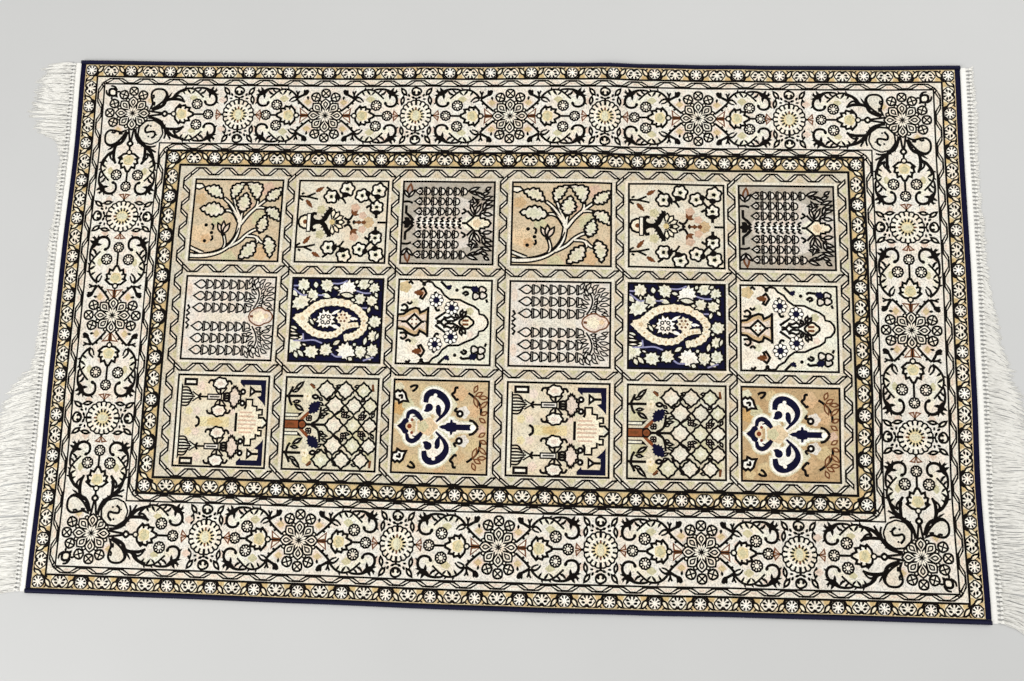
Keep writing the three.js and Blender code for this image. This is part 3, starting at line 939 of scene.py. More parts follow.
def paisley_panel():
    """Curled drop on navy, among shaggy flowers and twigs."""
    d = Drawing()
    d.lay(box(-297.2, -59.2, -167.8, 58.8), "navy")
    ring_path = curve([
        -289+1j, -277+5j, -264+17j, -249+23.4j, -231+24.4j, -213+20.6j, -199+10.6j, -192.4-1j, -196-14j,
        -206-22j, -220-25.4j], 4)
    tongue = curve([-283-1j, -274-10j, -262-18.6j, -246-22j, -232-20j, -222-11.6j, -211-7.6j, -201-6.6j], 4)
    for path, width, end in ((ring_path, 10.6, 9.6), (tongue, 11.0, 6.6)):
        outline = band(path, width, end)
        middle = sum(outline) / len(outline)
        outline = [
            p + (0.7 if k % 2 else -0.7) * (p - middle) / abs(p - middle) for k, p in enumerate(outline)]
        d.lay(grown(outline, 1.4), "ink")
        d.lay(outline, "cream")
        for k in range(2, len(path) - 2, 2):
            across = normals(path)[k]
            d.line([path[k] - 2.4 * across, path[k] + 1.2 * across], 0.3, dye="apricot" if k % 4 else "tan")
    d.lay(leaf(-293+1j, -266+1j, 15, 0.5, 8), "cream")
    d.lay(ring(-279+1j, 3.6, 15, 5, 0.3), "apricot")
    d.line([-264-1j, -258-2j], 2.0, dye="cream")
    d.edged(shaggy(-247+0j, 12.8, spikes=12), "white", 0.2)
    for ray in rays(4, 0.5):
        d.dots((-247 + 5.6 * ray, 3.0, "ink", 9), (-247 + 5.6 * ray, 1.3, "white", 6))
    for ray in rays(4):
        d.dot(-247 + 6.4 * ray, 1.5, "ink", 6)
    d.leaves("white", (-239+7j, -227+14j, 4.0, 0.4, 5), (-238-8j, -226-12j, 5.0, 0.4, 5))
    d.lay(shaggy(-222+2j, 9.6), "cream")
    for ray in rays(6):
        d.dot(-223+2.5j + 5.0 * ray, 1.7, "brown", 7)
    d.dot(-223+2.5j, 2.6, "apricot", 9)
    d.lay(leaf(-214+2j, -202+1j, 4.6, 0.45, 5), "white")
    d.lay(leaf(-216-22j, -205-25j, 5, 0.5, 5), "cream")
    flowers = (
        (-280+48j, 7.6, 1.0, 0), (-267.5+33.5j, 7.2, 1.1, 0), (-247+48j, 7.6, 1.05, 0),
        (-283+24j, 9.0, 1.15, 35), (-195+51j, 7.2, 1.1, 20), (-201+29.5j, 6.8, 1.0, 0),
        (-181+45j, 6.2, 1.0, 0), (-184+27j, 6.6, 1.0, 0), (-178.5-2j, 7.4, 1.0, 90),
        (-180-22j, 6.2, 1.0, 0), (-180-42j, 7.4, 1.0, 0), (-197-44j, 7.4, 1.1, 20),
        (-244.5-42j, 7.4, 1.0, 0), (-264.5-45j, 7.6, 1.05, 0), (-289-36j, 9.4, 1.1, 60))
    for centre, radius, stretch, turn in flowers:
        d.edged(grown(shaggy(centre, 1.14 * radius, 9, stretch, turn), 0.6), "mist", 0.1)
        d.lay(ring(centre, 0.5 * radius, 15, 5, 0.3), "sage")
    for centre, turn in ((-219+43j, 35), (-216-44j, -35)):
        d.edged(shaggy(centre, 11.4, 11, 1.2, turn), "chalk", 0.1)
    for base, tip, width in (
            (-280+42j, -279+33j, 2.4), (-262+43j, -264+54j, 6.0), (-298+42j, -287+31j, 6.0),
            (-240+46j, -229+43j, 4.0), (-256+36j, -240+31j, 6.0), (-208+50j, -204+57j, 4.0),
            (-229+36j, -208+33j, 6.0), (-190+52j, -182+56j, 4.0), (-180+40j, -176+31j, 4.0),
            (-186+20j, -189+9j, 4.0), (-180+22j, -174+14j, 4.0), (-206+27j, -214+29j, 3.6),
            (-184-8j, -186-14j, 3.6), (-176-28j, -172-16j, 3.4), (-192-36j, -189-22j, 4.4),
            (-190-48j, -180-56j, 5.0), (-208-36j, -202-32j, 4.0), (-214-52j, -206-56j, 5.0),
            (-236-36j, -224-28j, 5.0), (-284-42j, -274-53j, 5.0), (-288-44j, -283-55j, 5.0),
            (-284-30j, -276-22j, 5.0), (-270+2j, -262-9j, 3.4), (-296-10j, -284-14j, 3.4)):
        d.edged(leaf(base, tip, width + 2.2, 0.5, 5), "mist", 0.1)
    for path in (
            [-297+47j, -287+47j], [-294+43j, -282+34j, -275+34j], [-240+51j, -229+51j, -219+55j],
            [-206+41j, -196+38j, -186+38j], [-290-30j, -276-30j, -262-29j, -250-33j], [-276-30j, -277-20j],
            [-236-47j, -230-51j, -221-51j], [-192-56j, -178-51j], [-260+34j, -250+34j], [-197+17j, -190+17j]):
        d.line(path, 0.1, dye="dusk")
    for base, tip in ((-298-13j, -285-19j), (-298-20j, -282-21j), (-297-26j, -281-26j), (-279-34j, -270-37j)):
        d.edged(leaf(base, tip, 4.6, 0.5, 5), "ivory", 0.4)
    for place in (-292+5j, -291-6j, -262+10j, -258+13j, -212+12j, -206-1j, -215-16j, -208-16j):
        d.dot(place, 1.6, "ink")
    return d


def niche_panel():
    """Stepped arch over a vase and two navy flowers."""
    d = Drawing()
    middle = -0.8j
    d.lay(box(-104, -59.4, -18.4, 58.6), "mist")
    upper = [
        -119+59j, -113+54.5j, -107+56.5j, -101+55.5j, -97+50j, -89+45.5j, -84+38j, -76+32j, -62+31.5j,
        -52+26.5j, -42+22.5j, -35.6+17.5j, -34.6+12j, -28+10.5j, -23.4+5j, -22.2+0j]
    path = [p + middle for p in upper] + [p.conjugate() + middle for p in upper[-2::-1]]
    d.lay(path + [-147-59j, -147+58j], "ivory")
    d.lay(ring(-80, 16, 20, 5, 0.3, 1.3), "chalk")
    d.blots((-48+15j, 6, "moss"), (-46-17j, 5, "shell"))
    d.line(path, 1.1, smooth=False)
    half = Drawing()
    d.blots((-138+48j, 9, "gold"), (-136-22j, 6, "shell"))
    half.blots((-124+27j, 6, "sage"))
    navy_flower = Drawing()
    navy_flower.lay(ring(0, 10.6, 32, 8, 0.14), "ink")
    for ray in rays(8):
        navy_flower.lay(ring(6.9 * ray, 2.1, 8, stretch=1.3, turn=math.degrees(cmath.phase(ray))), "white")
    navy_flower.dot(0, 4.6, "navy", 10)
    half.add(navy_flower, shift=-94.5+30.5j)
    half.add(navy_flower, shift=-73+20j)
    half.strokes(
        ([-98+40j, -94+42j], 1.2), ([-96+21j, -93+16j, -89+17.5j], 1.5),
        ([-95+4j, -88+9j, -81+14j], 1.8, 1.2), ([-93+2j, -87+1j, -83+4.5j, -78+1.5j, -72+2j], 1.4),
        ([-84+7j, -78+6j, -73+8j, -68+5j], 1.4), ([-72+1j, -66+4j, -60+8j, -56+13j], 1.7, 1.2))
    half.edged(leaf(-64+6j, -67+11.5j, 3.6, 0.5, 5), "ivory", 1.1)
    half.leaves("ivory", (-60+9j, -58+17j, 4.2, 0.5, 5), (-58+8j, -53+15j, 4.4, 0.5, 5), line=1.2)
    # vase
    body = [
        -147+0j, -147+9.5j, -139+10.5j, -131+16.5j, -123+19.4j, -118+18j, -116+12.5j, -110+15.5j,
        -105.5+18.5j, -105.5+0j]
    half.edged(body, "tan", 1.6)
    half.lay([-147+0j, -147+6j, -138+6j, -128+11j, -122+13j, -117+8j, -110+11j, -108+12j, -108+0j], "shell")
    half.lay(box(-107.0, 0, -103.4, 21), "ink")
    half.strokes(
        ([-143.5+16j, -136.5+15.6j, -134+20j, -138+24j, -142.5+21.5j], 1.5),
        ([-135+27.5j, -131+25j, -127.4+28j], 1.5), ([-134+54j, -130.5+56j, -127.4+52.5j], 1.4))
    # brick tulip with its white cup
    half.edged(
        [-121+40j, -117+44j, -113+47.5j, -110.5+44j, -108.5+40j, -111+36j, -113.5+32j, -117+33.5j,
         -115+38j], "rose", 1.4)
    half.lay(toothed(-112+40j, -126+41j, 7.4, 0.5, 4), "umber")
    half.dots((-112+53j, 3.2, "ink", 12), (-107+52.4j, 2.6, "chalk", 9))
    # corner field
    half.line([-89+57j, -84+52j, -79+47j], 1.6)
    half.lay(toothed(-80+46j, -74+52j, 6.4, 0.4, 3), "navy")
    half.dot(-66.5+45j, 2.6, "ink", 8)
    half.strokes(
        ([-59+47j, -56+49.6j, -50+49j, -45+48.5j], 1.7), ([-59+39.5j, -54+43j, -51+40j, -56+37.5j], 1.7))
    half.lay(shaggy(-41+46j, 5.6, spikes=7), "navy")
    for place in (-40+37j, -31.5+45.5j, -30.5+38j):
        half.edged(ring(place, 5.4, 18, 3, 0.24), "pale", 0.8)
    half.line([-26+33j, -24+28j], 1.5)
    d.both(half, shift=middle)
    d.edged([-134.6 + middle, -124+10.4j + middle, -113.4 + middle, -124-10.4j + middle], "ivory", 1.4)
    for ray in rays(4, 0.5):
        d.dot(-124 + middle + 4.2 * ray, 1.5, "umber", 6)
    d.strokes(([-115.5 + middle, -110 + middle], 1.5), ([-142 + middle, -133 + middle], 1.5))
    d.edged(ring(-52 + middle, 8.6, 32, 4, 0.2, 1.15), "cream", 1.2)
    d.strokes(
        ([-57.5+2.6j + middle, -49+2.8j + middle], 1.2, 1.2, "umber"),
        ([-57.5-2.6j + middle, -49-2.8j + middle], 1.2, 1.2, "umber"))
    return d


def pavilion_panel():
    """Stepped pavilion between two fan-rooted trees."""
    d = Drawing()
    middle = -143.5j
    half = Drawing()
    for x, y, radius, dye in (
            (42, 48, 7, "shell"), (38, 14, 6, "shell"), (26, 14, 6, "butter"), (64, 13, 5, "moss"),
            (100, 26, 7, "sage"), (92, 14, 5, "shell")):
        half.blots((complex(x, y), radius, dye))
    d.lay(box(43, -150.4, 88, -137), "butter")
    d.lay(ring(66-143.6j, 6, 20, 5, 0.3, 2.2), "straw")
    tree = Drawing()
    tree.lay([12.4-9.4j, 26-9.4j, 35-3j, 40+0j, 35+3j, 26+9.4j, 12.4+9.4j], "mist")
    for k in range(-3, 4):
        y = 4.1 * k
        tree.line([
            complex(12.4, y), complex(24 - 0.6 * abs(k), y), complex(34 - 2.2 * abs(k), y * 0.55)], 0.5)
    tree.strokes(
        ([30+6.6j, 36+2.6j, 42], 0.2), ([30-6.6j, 36-2.6j, 42], 0.2), ([38, 53], 0.8), ([39, 43+4.5j], 1.3),
        ([39, 43-4.5j], 1.3))
    tree.edged(box(53, -3.4, 74, 3.4), "pale", 0.0)
    tree.line([56, 71], 0.0)
    tree.edged(toothed(86.5, 103, 27, 0.42, 7, 1.9), "shell", 0.9)
    tree.dot(93, 3.6, "shell", 9)
    crown = Drawing()
    crown.edged(ring(18.6j + 71, 8.4, 28, 7, 0.2, 1.4), "ivory", 0.8)
    crown.lay(ring(18.6j + 71, 3.6, 15, 5, 0.3, 1.6), "shell")
    crown.strokes(
        ([70+4j, 66+8j, 64+13j], 0.6), ([74+4j, 78+8j, 82+13j], 0.6), ([72+4j, 72+11j], 1.4),
        ([76+3j, 82+5.5j, 87+4j], 1.4), ([76+1.5j, 84+1.6j, 88+0.6j], 1.2),
        ([53+18j, 55+22j, 60+22.6j, 63+20j], 1.4), ([89+17j, 86+21.6j, 81+21.4j], 1.4))
    crown.edged(ring(106.5+7.8j, 3.1, 9), "white", 1.4)
    tree.both(crown)
    half.add(tree, shift=33.5j)
    half.edged(box(17.6, 50, 35, 57), "ivory", 1.6)
    half.line([6+54j, 12.8+49j, 13.4+0j], 1.7, smooth=False)
    # stepped pavilion and its navy corner
    steps = [
        100+0j, 100+13j, 110+18j, 112+22j, 112+31j, 121.6+31j, 121.6+22.6j, 128.4+21.6j, 128.4+15.6j,
        131+17.6j, 136.6+17.6j, 136.6+10.6j, 131.6+10.6j, 131.6+6.6j, 138.6+6.6j, 144.6+0j]
    half.lay(steps, "cream")
    half.line(steps[2:], 1.6, smooth=False)
    half.lay([136.8+0j, 136.8+6j, 143+0j], "mist")
    for k in range(3):
        half.lay(box(101 + k, 1.4 + 5.4 * k, 128 - 3 * k, 3.8 + 5.4 * k), "rose")
    half.lay([
        101.5+53.5j, 102+57.8j, 140.4+57.8j, 140.4+22j, 136+27.5j, 127.6+35j, 133.4+36.4j, 133.8+45j,
        132.6+50.6j, 108.6+50.6j, 108+47j], "navy")
    half.edged([117.6+47.4j, 124.6+42j, 117.6+36.6j], "chalk", 1.6)
    half.line([124.6+42j, 133.6+42j], 1.5)
    d.both(half, shift=middle)
    d.lay(box(6.2, -198, 12.4, -89), "pearl")
    d.strokes(([98.4-131j, 98.2-156j], 1.9), ([37-137j, 41.4-140j, 42.4-144j, 41.4-148j, 37-151j], 1.7))
    return d


def blossom_panel():
    """Trellis of lobed blossoms that grows from a thick stem."""
    d = Drawing()
    middle = -144j
    d.blots(
        (-283-122j, 11, "moss"), (-281-166j, 12, "moss"), (-262-190j, 8, "butter"), (-262-98j, 8, "sage"),
        (-226-130j, 12, "sage"), (-196-160j, 12, "moss"), (-180-186j, 8, "moss"), (-190-110j, 10, "haze"))
    half = Drawing()
    for base, tip in (
            (-250+30j, -243+26j), (-244+19j, -234+22j), (-246+14j, -236+15j), (-247+9j, -241+12j),
            (-217+13j, -209+18j), (-214+11j, -206+12j), (-216+17j, -216+22j), (-213+38j, -219+33j),
            (-192+12j, -186+20j), (-190+9j, -184+14j), (-191+32j, -187+37j), (-203+44j, -206+52j),
            (-201+52j, -195+53j), (-228+42j, -225+52j), (-226+53j, -219+52j), (-176+11j, -173+17j),
            (-249+36j, -245+33j), (-238+33j, -233+36j)):
        half.edged(leaf(base, tip, 3.4, 0.5, 4), "pearl", 0.5)
    for x, y in ((-214, 14), (-190.5, 11), (-262, 8.5)):
        for ray in rays(4, 0.5):
            half.edged(ring(complex(x, y) + 2.2 * ray, 1.9, 7), "shell", 0.3)
    half.strokes(
        ([-258+1j, -250+6j, -247+14j, -246+24j], 1.6, 1.2), ([-229+12j, -219+19j], 1.5),
        ([-216+26.6j, -212+26.6j], 1.3), ([-298+37.6j, -284+38j, -271+38j], 2.0, 1.6),
        ([-292+38j, -288+46j, -286+51j], 1.5), ([-291+37j, -289+30j, -286+25j], 1.5))
    half.edged(leaf(-283+46j, -272+57j, 4.4, 0.5, 5), "ivory", 1.3)
    half.edged(leaf(-286+44j, -278+47j, 3.0, 0.5, 5), "ivory", 1.2)
    half.edged(leaf(-282+26j, -271+19j, 4.4, 0.5, 5), "ivory", 1.3)
    half.edged(leaf(-284+30j, -276+31j, 3.0, 0.5, 5), "ivory", 1.2)
    half.edged(leaf(-259+38j, -250+37j, 5.0, 0.5, 5), "ivory", 1.3)
    for ray in rays(5):
        half.dot(-265.6+38j + 3.4 * ray, 2.5, "cream", 8)
    half.dot(-265.6+38j, 1.4, "straw", 6)
    half.strokes(
        ([-256+52j, -262+55j], 0.8), ([-256+49j, -262.5+55j], 1.7, 1.2, "brown"),
        ([-175.8+46j, -176.6+56j], 2.0, 1.0, "brown"), ([-274+4.5j, -268+11j, -261+17.6j], 2.4, 1.8, "bark"))
    half.lay(toothed(-262+15j, -249+31j, 13, 0.5, 6, 2.0), "navy")
    half.lay([-298+9.4j, -298+15.4j, -275+15.4j, -269.6+17.4j, -274+12j, -277+9.4j], "ink")
    half.lay(box(-296.6, 10.9, -277, 13.9), "mist")
    d.both(half, shift=middle)
    rows = (
        (47, (-239.5, -213.5, -189)), (26.6, (-227, -201, -179)), (0, (-227.6, -201.4, -179)),
        (-27, (-227.6, -201, -179)), (-46.4, (-243, -215, -189)))
    for y, places in rows:
        for k, x in enumerate(places):
            size = 12.4 - 0.9 * k
            points = []
            for step, ray in enumerate(rays(16)):
                points.append(complex(x, y) + middle + ray * size * (1.06, 0.8, 0.86, 0.8)[step % 4])
            d.edged(points, ("margin", "sage", "margin")[(k + int(abs(y))) % 3], 0.8)
            d.lay(ring(complex(x, y) + middle, 4.0, 12, 4, 0.4), "mist")
    root = (-299+6.3j, -274+6.3j, -269+6.6j, -264.6+2j, -264.6-2j, -269-6.6j, -274-6.3j, -299-6.3j)
    d.lay([p + middle for p in root], "ink")
    d.lay(box(-298, -148.8, -276.6, -139.2), "bark")
    d.lay(box(-292, -145.6, -282, -142.2), "umber")
    d.dots((-271 + middle, 4.4, "bark", 10), (-271 + middle, 2.0, "umber", 8))
    d.strokes(([-265 + middle, -238 + middle], 1.7), ([-258 + middle, -250-149j], 1.0))
    return d


def trefoil_panel():
    """Large navy trefoil with its pale halo and a spear."""
    d = Drawing()
    middle = -142.5j
    d.blots(
        (-140+24j, 10, "honey"), (-134-30j, 11, "tan"), (-58+46j, 12, "peach"), (-60-38j, 12, "tan"),
        (-38+22j, 10, "peach"), (-40-24j, 11, "gold"), (-82-54j, 9, "peach"), (-108+50j, 9, "gold"),
        (-118-46j, 10, "gold"), (-28-2j, 7, "rose"), (-52+20j, 9, "pale"), (-52-18j, 9, "pale"),
        (-140+52j, 7, "sage"), (-136-52j, 8, "gold"), (-70+30j, 10, "sage"), (-66-28j, 9, "sage"),
        (-128+30j, 9, "moss"), shift=middle)
    navy = Drawing()
    navy.lay([-141.5+0j, -136+4.6j, -132.6+9.6j, -128+11.4j, -125.4+7.4j, -126.6+0j], "navy")
    for path, steps, width, end, bulge in (
            ([-127.6+10j, -126+17j, -120+19.6j, -113+15.6j, -107.6+8j], 5, 4.4, 5.2, 1.6),
            ([-120+12.6j, -116+13.6j, -111+10j], 4, 1.6, 2.6, 0.0),
            ([-103.6+32j, -102+41j, -96+45.6j, -87+44.4j, -78+38j, -73.6+28.6j, -77+18.6j, -88.6+6.6j], 5,
             6.6, 2.6, 5.0)):
        navy.lay(band(curve(path, steps), width, end, bulge), "navy")
    navy.dot(-98.6+25.6j, 5.4, "navy", 12)
    navy.leaves("navy", (-97+24j, -106+20.4j, 7.0, 0.4, 6), (-85.6+29j, -82.6+11j, 7.6, 0.35, 7, -1.6))
    navy.dot(-86.4+26.4j, 3.2, "navy", 10)
    spear = [
        -85+0j, -80+2.6j, -76+3.2j, -73.6+5.6j, -69.6+6.2j, -69+10.4j, -66.6+10j, -65.6+6.4j, -61.4+5.8j,
        -60.6+3.9j, -41.6+3.9j, -41.6+0j]
    navy.lay(spear, "navy")
    halo = Drawing()
    for by, dye in ((4.8, "sage"), (2.8, "chalk")):
        for points, _ in navy.shapes:
            halo.lay(grown(points, by), dye)
    halo.lay(ring(-104+4j, 14, 20, 5, 0.2), "mist")
    halo.dot(-90+28j, 12, "chalk", 20)
    d.both(halo, shift=middle)
    d.lay(ring(-101 + middle, 13, 20, 5, 0.3, 1.2), "apricot")
    d.blots((-106 + middle, 8, "moss"))
    d.both(navy, shift=middle)
    d.dots(
        (-90.6+42j + middle, 2.6, "white", 9), (-90.6-42j + middle, 2.6, "white", 9),
        (-124.4 + middle, 5.4, "apricot", 14), (-124.4 + middle, 3.2, "brick", 12))
    for y in (8.6, -8.6):
        d.dot(-121+1j * y + middle, 2.2, "brick", 8)
    half = Drawing()
    half.line([-44+9.6j, -39+8.4j, -34.6+4.6j, -31.6+0j], 1.7)
    half.dot(-38.6+0j, 4.0, "white", 10)
    half.edged([
        -147+44j, -142+48j, -139+46j, -136+48j, -131.6+44j, -130+38j, -127.6+33j, -134+33.6j, -139.6+30.6j,
        -140.6+34.6j, -145.6+36j], "chalk", 1.5)
    half.strokes(
        ([-141+40j, -136+41j, -136.6+36j], 1.3),
        ([-125.6+52j, -121+54.4j, -115.6+54j, -119+48.6j, -122.6+47j], 1.5),
        ([-59.6+53j, -63.6+52.4j, -64.6+47j, -68+44j, -65+40j, -62+36.6j, -59+38j], 1.6))
    half.edged(ring(-56.6+18j, 3.6, 10), "chalk", 1.5)
    half.strokes(
        ([-60.6+26j, -63.6+22j, -60+20.6j], 1.4), ([-46+46j, -40+42j, -32+33.6j, -28.6+26j, -28+17j], 1.5))
    for base, tip in (
            (-38+47j, -34+56j), (-36+42j, -27+47j), (-31+40j, -20+40j), (-38+40j, -33+27j),
            (-30+26j, -20+35j), (-28+17j, -20+21j), (-30+12j, -22+7j)):
        half.edged(leaf(base, tip, 5.0, 0.5, 5), "tan", 0.0, "brown")
    d.both(half, shift=middle)
    return d


# Where the borders and panels lie, in half-distances from the middle

NAVY_EDGE = (622.0, 370.2)
OUTER_CHAIN = (603.6, 352.2)
BORDER_EDGE = (590.6, 339.8)
INNER_CHAIN = (505.4, 253.6)
INNER_GUARD = (492.6, 242.0)
FIELD_EDGE = (471.4, 220.6)
OUTER_ROSETTES = (613.0, 361.6)
OUTER_LINKS = (597.2, 345.8)
INNER_LINKS = (499.0, 247.8)
INNER_ROSETTES = (482.0, 231.4)
BORDER_LINE = (547.5, 296.6)
LONG_ROSETTES = (-392.0, -134.5, 134.5, 392.0)
LONG_CLUSTERS = (-265.5, 0.0, 265.5)
SHORT_ROSETTES = (-142.5, 142.5)
COLUMNS = ((-447, -318), (-297, -167.5), (-148.5, -17), (5.5, 146), (167.5, 301), (319, 451))
ROWS = ((79.5, 200.5), (-60, 59.5), (-205.5, -79))
PANEL_MARGIN = 3.2
# Height between the rails of a ribbon, length of its flat links and width of its lozenges
CHAIN_LINK = (6.4, 12.0, 6.4)
LATTICE_LINK = (9.6, 8.5, 5.2)
LATTICE_FLATS = 8
# Farther than the clusters next to a rosette, nearer than the others
NEIGHBOUR_REACH = 140
LATTICE_X = (-458.5, -307.5, -158, -5.5, 156.5, 310, 461)
LATTICE_Y = (211, 69.5, -69.5, -213)


def centred_box(reach):
    """Outline at a half-distance."""
    return box(-reach[0], -reach[1], reach[0], reach[1])


def loop(reach, width=2.8, dye="ink"):
    """Line round the rug at a half-distance."""
    x, y = reach
    half = width / 2
    d = Drawing()
    for sign in (-1, 1):
        d.lay(box(-x - half, y * sign - half, x + half, y * sign + half), dye)
        d.lay(box(x * sign - half, -y - half, x * sign + half, y + half), dye)
    return d


def round_sides(d, long_run, short_run, reach):
    """A run along both long sides and both short ones, its far edge always outwards."""
    x, y = reach
    d.add(long_run, shift=complex(-x, y))
    d.add(long_run, flip=True, shift=complex(-x, -y))
    d.add(short_run, spin=-1j, shift=complex(x, y))
    d.add(short_run, spin=-1j, flip=True, shift=complex(-x, y))


def guard_border(reach, long_periods, short_periods):
    """Rosettes and palmettes all round, with a rosette in each corner."""
    d = Drawing()
    x, y = reach
    long_run = guard_run(long_periods, 2 * x / long_periods)
    short_run = guard_run(short_periods, 2 * y / short_periods)
    round_sides(d, long_run, short_run, reach)
    for corner in (complex(x, y), complex(-x, y), complex(x, -y), complex(-x, -y)):
        d.add(guard_rosette(), shift=corner)
    return d


def chain_border(reach, long_flats, short_flats):
    """Chain of flat links and lozenges all round, dashed with beige, and a lozenge across each corner."""
    d = Drawing()
    x, y = reach
    runs = []
    for half, flats in ((x, long_flats), (y, short_flats)):
        run = Drawing()
        spacing = 2 * half / flats
        for k in range(1, flats):
            place = complex(k * spacing, -0.6 if k % 2 else 0.6)
            run.line([place - 4.0, place + 4.0], 0.3, dye="shell")
        run.add(ribbon(flats, spacing, *CHAIN_LINK, skip=(0, flats)))
        runs.append(run)
    round_sides(d, runs[0], runs[1], reach)
    link = Drawing()
    link.edged([5.4 - 5.4j + p for p in (4.2 + 0.6j, -0.6 - 4.2j, -4.2 - 0.6j, 0.6 + 4.2j)], "ivory", 0.4)
    for sign in (-1, 1):
        d.add(link, flip=sign < 0, shift=complex(-x, sign * y))
        d.add(link, spin=-1, flip=sign > 0, shift=complex(x, sign * y))
    return d


def main_border():
    """Rosettes and petal clusters in turn along the wide border, with a flower in each corner."""
    d = Drawing()
    line_x, line_y = BORDER_LINE
    for y in (line_y, -line_y):
        for x in LONG_ROSETTES:
            for cluster_x in LONG_CLUSTERS:
                gap = cluster_x - x
                if abs(gap) < NEIGHBOUR_REACH:
                    d.add(border_unit(abs(gap)), spin=math.copysign(1, gap), shift=complex(x, y))
            d.add(border_rosette(), shift=complex(x, y))
        for x in (LONG_ROSETTES[0], LONG_ROSETTES[-1]):
            d.add(border_unit(line_x - abs(x), True), spin=math.copysign(1, x), shift=complex(x, y))
        for x in LONG_CLUSTERS:
            d.add(cluster(), shift=complex(x, y))
    for x in (line_x, -line_x):
        for y in SHORT_ROSETTES:
            d.add(border_unit(abs(y)), spin=-1j * math.copysign(1, y), shift=complex(x, y))
            d.add(border_unit(line_y - abs(y), True), spin=1j * math.copysign(1, y), shift=complex(x, y))
            d.add(border_rosette(), spin=1j, shift=complex(x, y))
        d.add(cluster((0, 180)), shift=complex(x, 0))
    corner = corner_flower()
    d.add(corner, shift=complex(-line_x, line_y))
    d.add(corner, flip=True, shift=complex(-line_x, -line_y))
    d.add(corner, spin=-1, flip=True, shift=complex(line_x, line_y))
    d.add(corner, spin=-1, shift=complex(line_x, -line_y))
    return d


def lattice():
    """Crossing zigzag ribbons between the panels, with a pale margin round each panel."""
    d = Drawing()
    for x0, x1 in COLUMNS:
        for y0, y1 in ROWS:
            d.lay(box(x0 - PANEL_MARGIN, y0 - PANEL_MARGIN, x1 + PANEL_MARGIN, y1 + PANEL_MARGIN), "margin")
    for row, y in enumerate(LATTICE_Y):
        first = 1 if row else -1
        for x0, x1 in zip(LATTICE_X, LATTICE_X[1:]):
            spacing = (x1 - x0) / LATTICE_FLATS
            ends = (0, LATTICE_FLATS)
            level = ribbon(LATTICE_FLATS, spacing, *LATTICE_LINK, ("moss", "sand"), first, ends)
            d.add(level, shift=complex(x0, y))
            d.line([complex(x1 - 4.2, y + 4.8 * first), complex(x1 - 0.6, y + 4.8 * first)])
    for y1, y0, skip in zip(LATTICE_Y, LATTICE_Y[1:], ((0,), (), (0, LATTICE_FLATS))):
        spacing = (y1 - y0) / LATTICE_FLATS
        upright = ribbon(LATTICE_FLATS, spacing, *LATTICE_LINK, ("sand", "moss"), -1, skip)
        for x in LATTICE_X:
            d.add(upright, spin=-1j, shift=complex(x, y1), flip=True)
    return d


def ring_patches(outer, inner, long_parts, short_parts):
    """Outlines that cover the ring between two half-distances, mitred at its corners."""
    patches = []
    for across, (far, top), (near, low), parts in (
            (1, outer, inner, long_parts), (1j, outer[::-1], inner[::-1], short_parts)):
        cuts = [(-far, -near)]
        cuts += [(x, x) for x in np.linspace(-near, near, parts + 1)[1:-1]]
        cuts += [(far, near)]
        for (a_far, a_near), (b_far, b_near) in zip(cuts, cuts[1:]):
            corners = [complex(a_far, top), complex(b_far, top), complex(b_near, low), complex(a_near, low)]
            patches.append([across * p for p in corners])
            patches.append([-across * p for p in corners])
    return patches


def lattice_patches(parts=4):
    """Outlines that cover the lattice between the panels."""
    patches = []
    edges = [FIELD_EDGE[1]] + [y for low, high in ROWS for y in (high, low)] + [-FIELD_EDGE[1]]
    cuts = np.linspace(-FIELD_EDGE[0], FIELD_EDGE[0], parts + 1)
    for high, low in zip(edges[::2], edges[1::2]):
        patches += [box(x0, low, x1, high) for x0, x1 in zip(cuts, cuts[1:])]
    walls = [-FIELD_EDGE[0]] + [x for column in COLUMNS for x in column] + [FIELD_EDGE[0]]
    for low, high in ROWS:
        patches += [box(x0, low, x1, high) for x0, x1 in zip(walls[::2], walls[1::2])]
    return patches


# The garden: each panel's drawing, the column that it is drawn in, and its ground
GARDEN = (
    ((tree_panel, 0, "panel_a"), (vase_panel, 1, "panel_b"), (chain_panel, 2, "panel_c")),
    ((cup_panel, 3, "panel_d"), (paisley_panel, 1, "navy"), (niche_panel, 2, "panel_f")),
    ((pavilion_panel, 3, "panel_g"), (blossom_panel, 1, "panel_h"), (trefoil_panel, 2, "panel_i")),
)


def garden_panel(row, column):
    """Drawing, outline and ground of one panel."""
    maker, home, ground = GARDEN[row][column % 3]
    low, high = ROWS[row]
    x0, x1 = COLUMNS[column]
    d = Drawing()
    d.fit(maker(), COLUMNS[home], COLUMNS[column])
    outline = box(x0, low, x1, high)
    for a, b in zip(outline, outline[1:] + outline[:1]):
        along = (b - a) / abs(b - a)
        d.line([a + 1.3j * along, b + 1.3j * along], 1.1)
    if ground == "panel_i" and column > 2:
        ground = "panel_i_east"
    return d, outline, ground


# Cutting a drawing into one layer of cloth


def inside(places, outline):
    """Which places an outline goes round."""
    turns = np.zeros(len(places), int)
    for a, b in zip(outline, outline[1:] + outline[:1]):
        left = ((b - a).conjugate() * (places - a)).imag > 0
        turns += (a.imag <= places.imag) & (places.imag < b.imag) & left
        turns -= (b.imag <= places.imag) & (places.imag < a.imag) & ~left
    return turns != 0


def span(points):
    """Lowest and highest places of an outline."""
    xs = [p.real for p in points]
    ys = [p.imag for p in points]
    return min(xs), min(ys), max(xs), max(ys)


# A stitched point keeps this share of its edge from the corners
CORNER_SHARE = 0.001
# Points this close become one, and a cut triangle needs this much area, doubled, in square millimetres
JOIN_DISTANCE = 0.01
LEAST_AREA = 0.0005


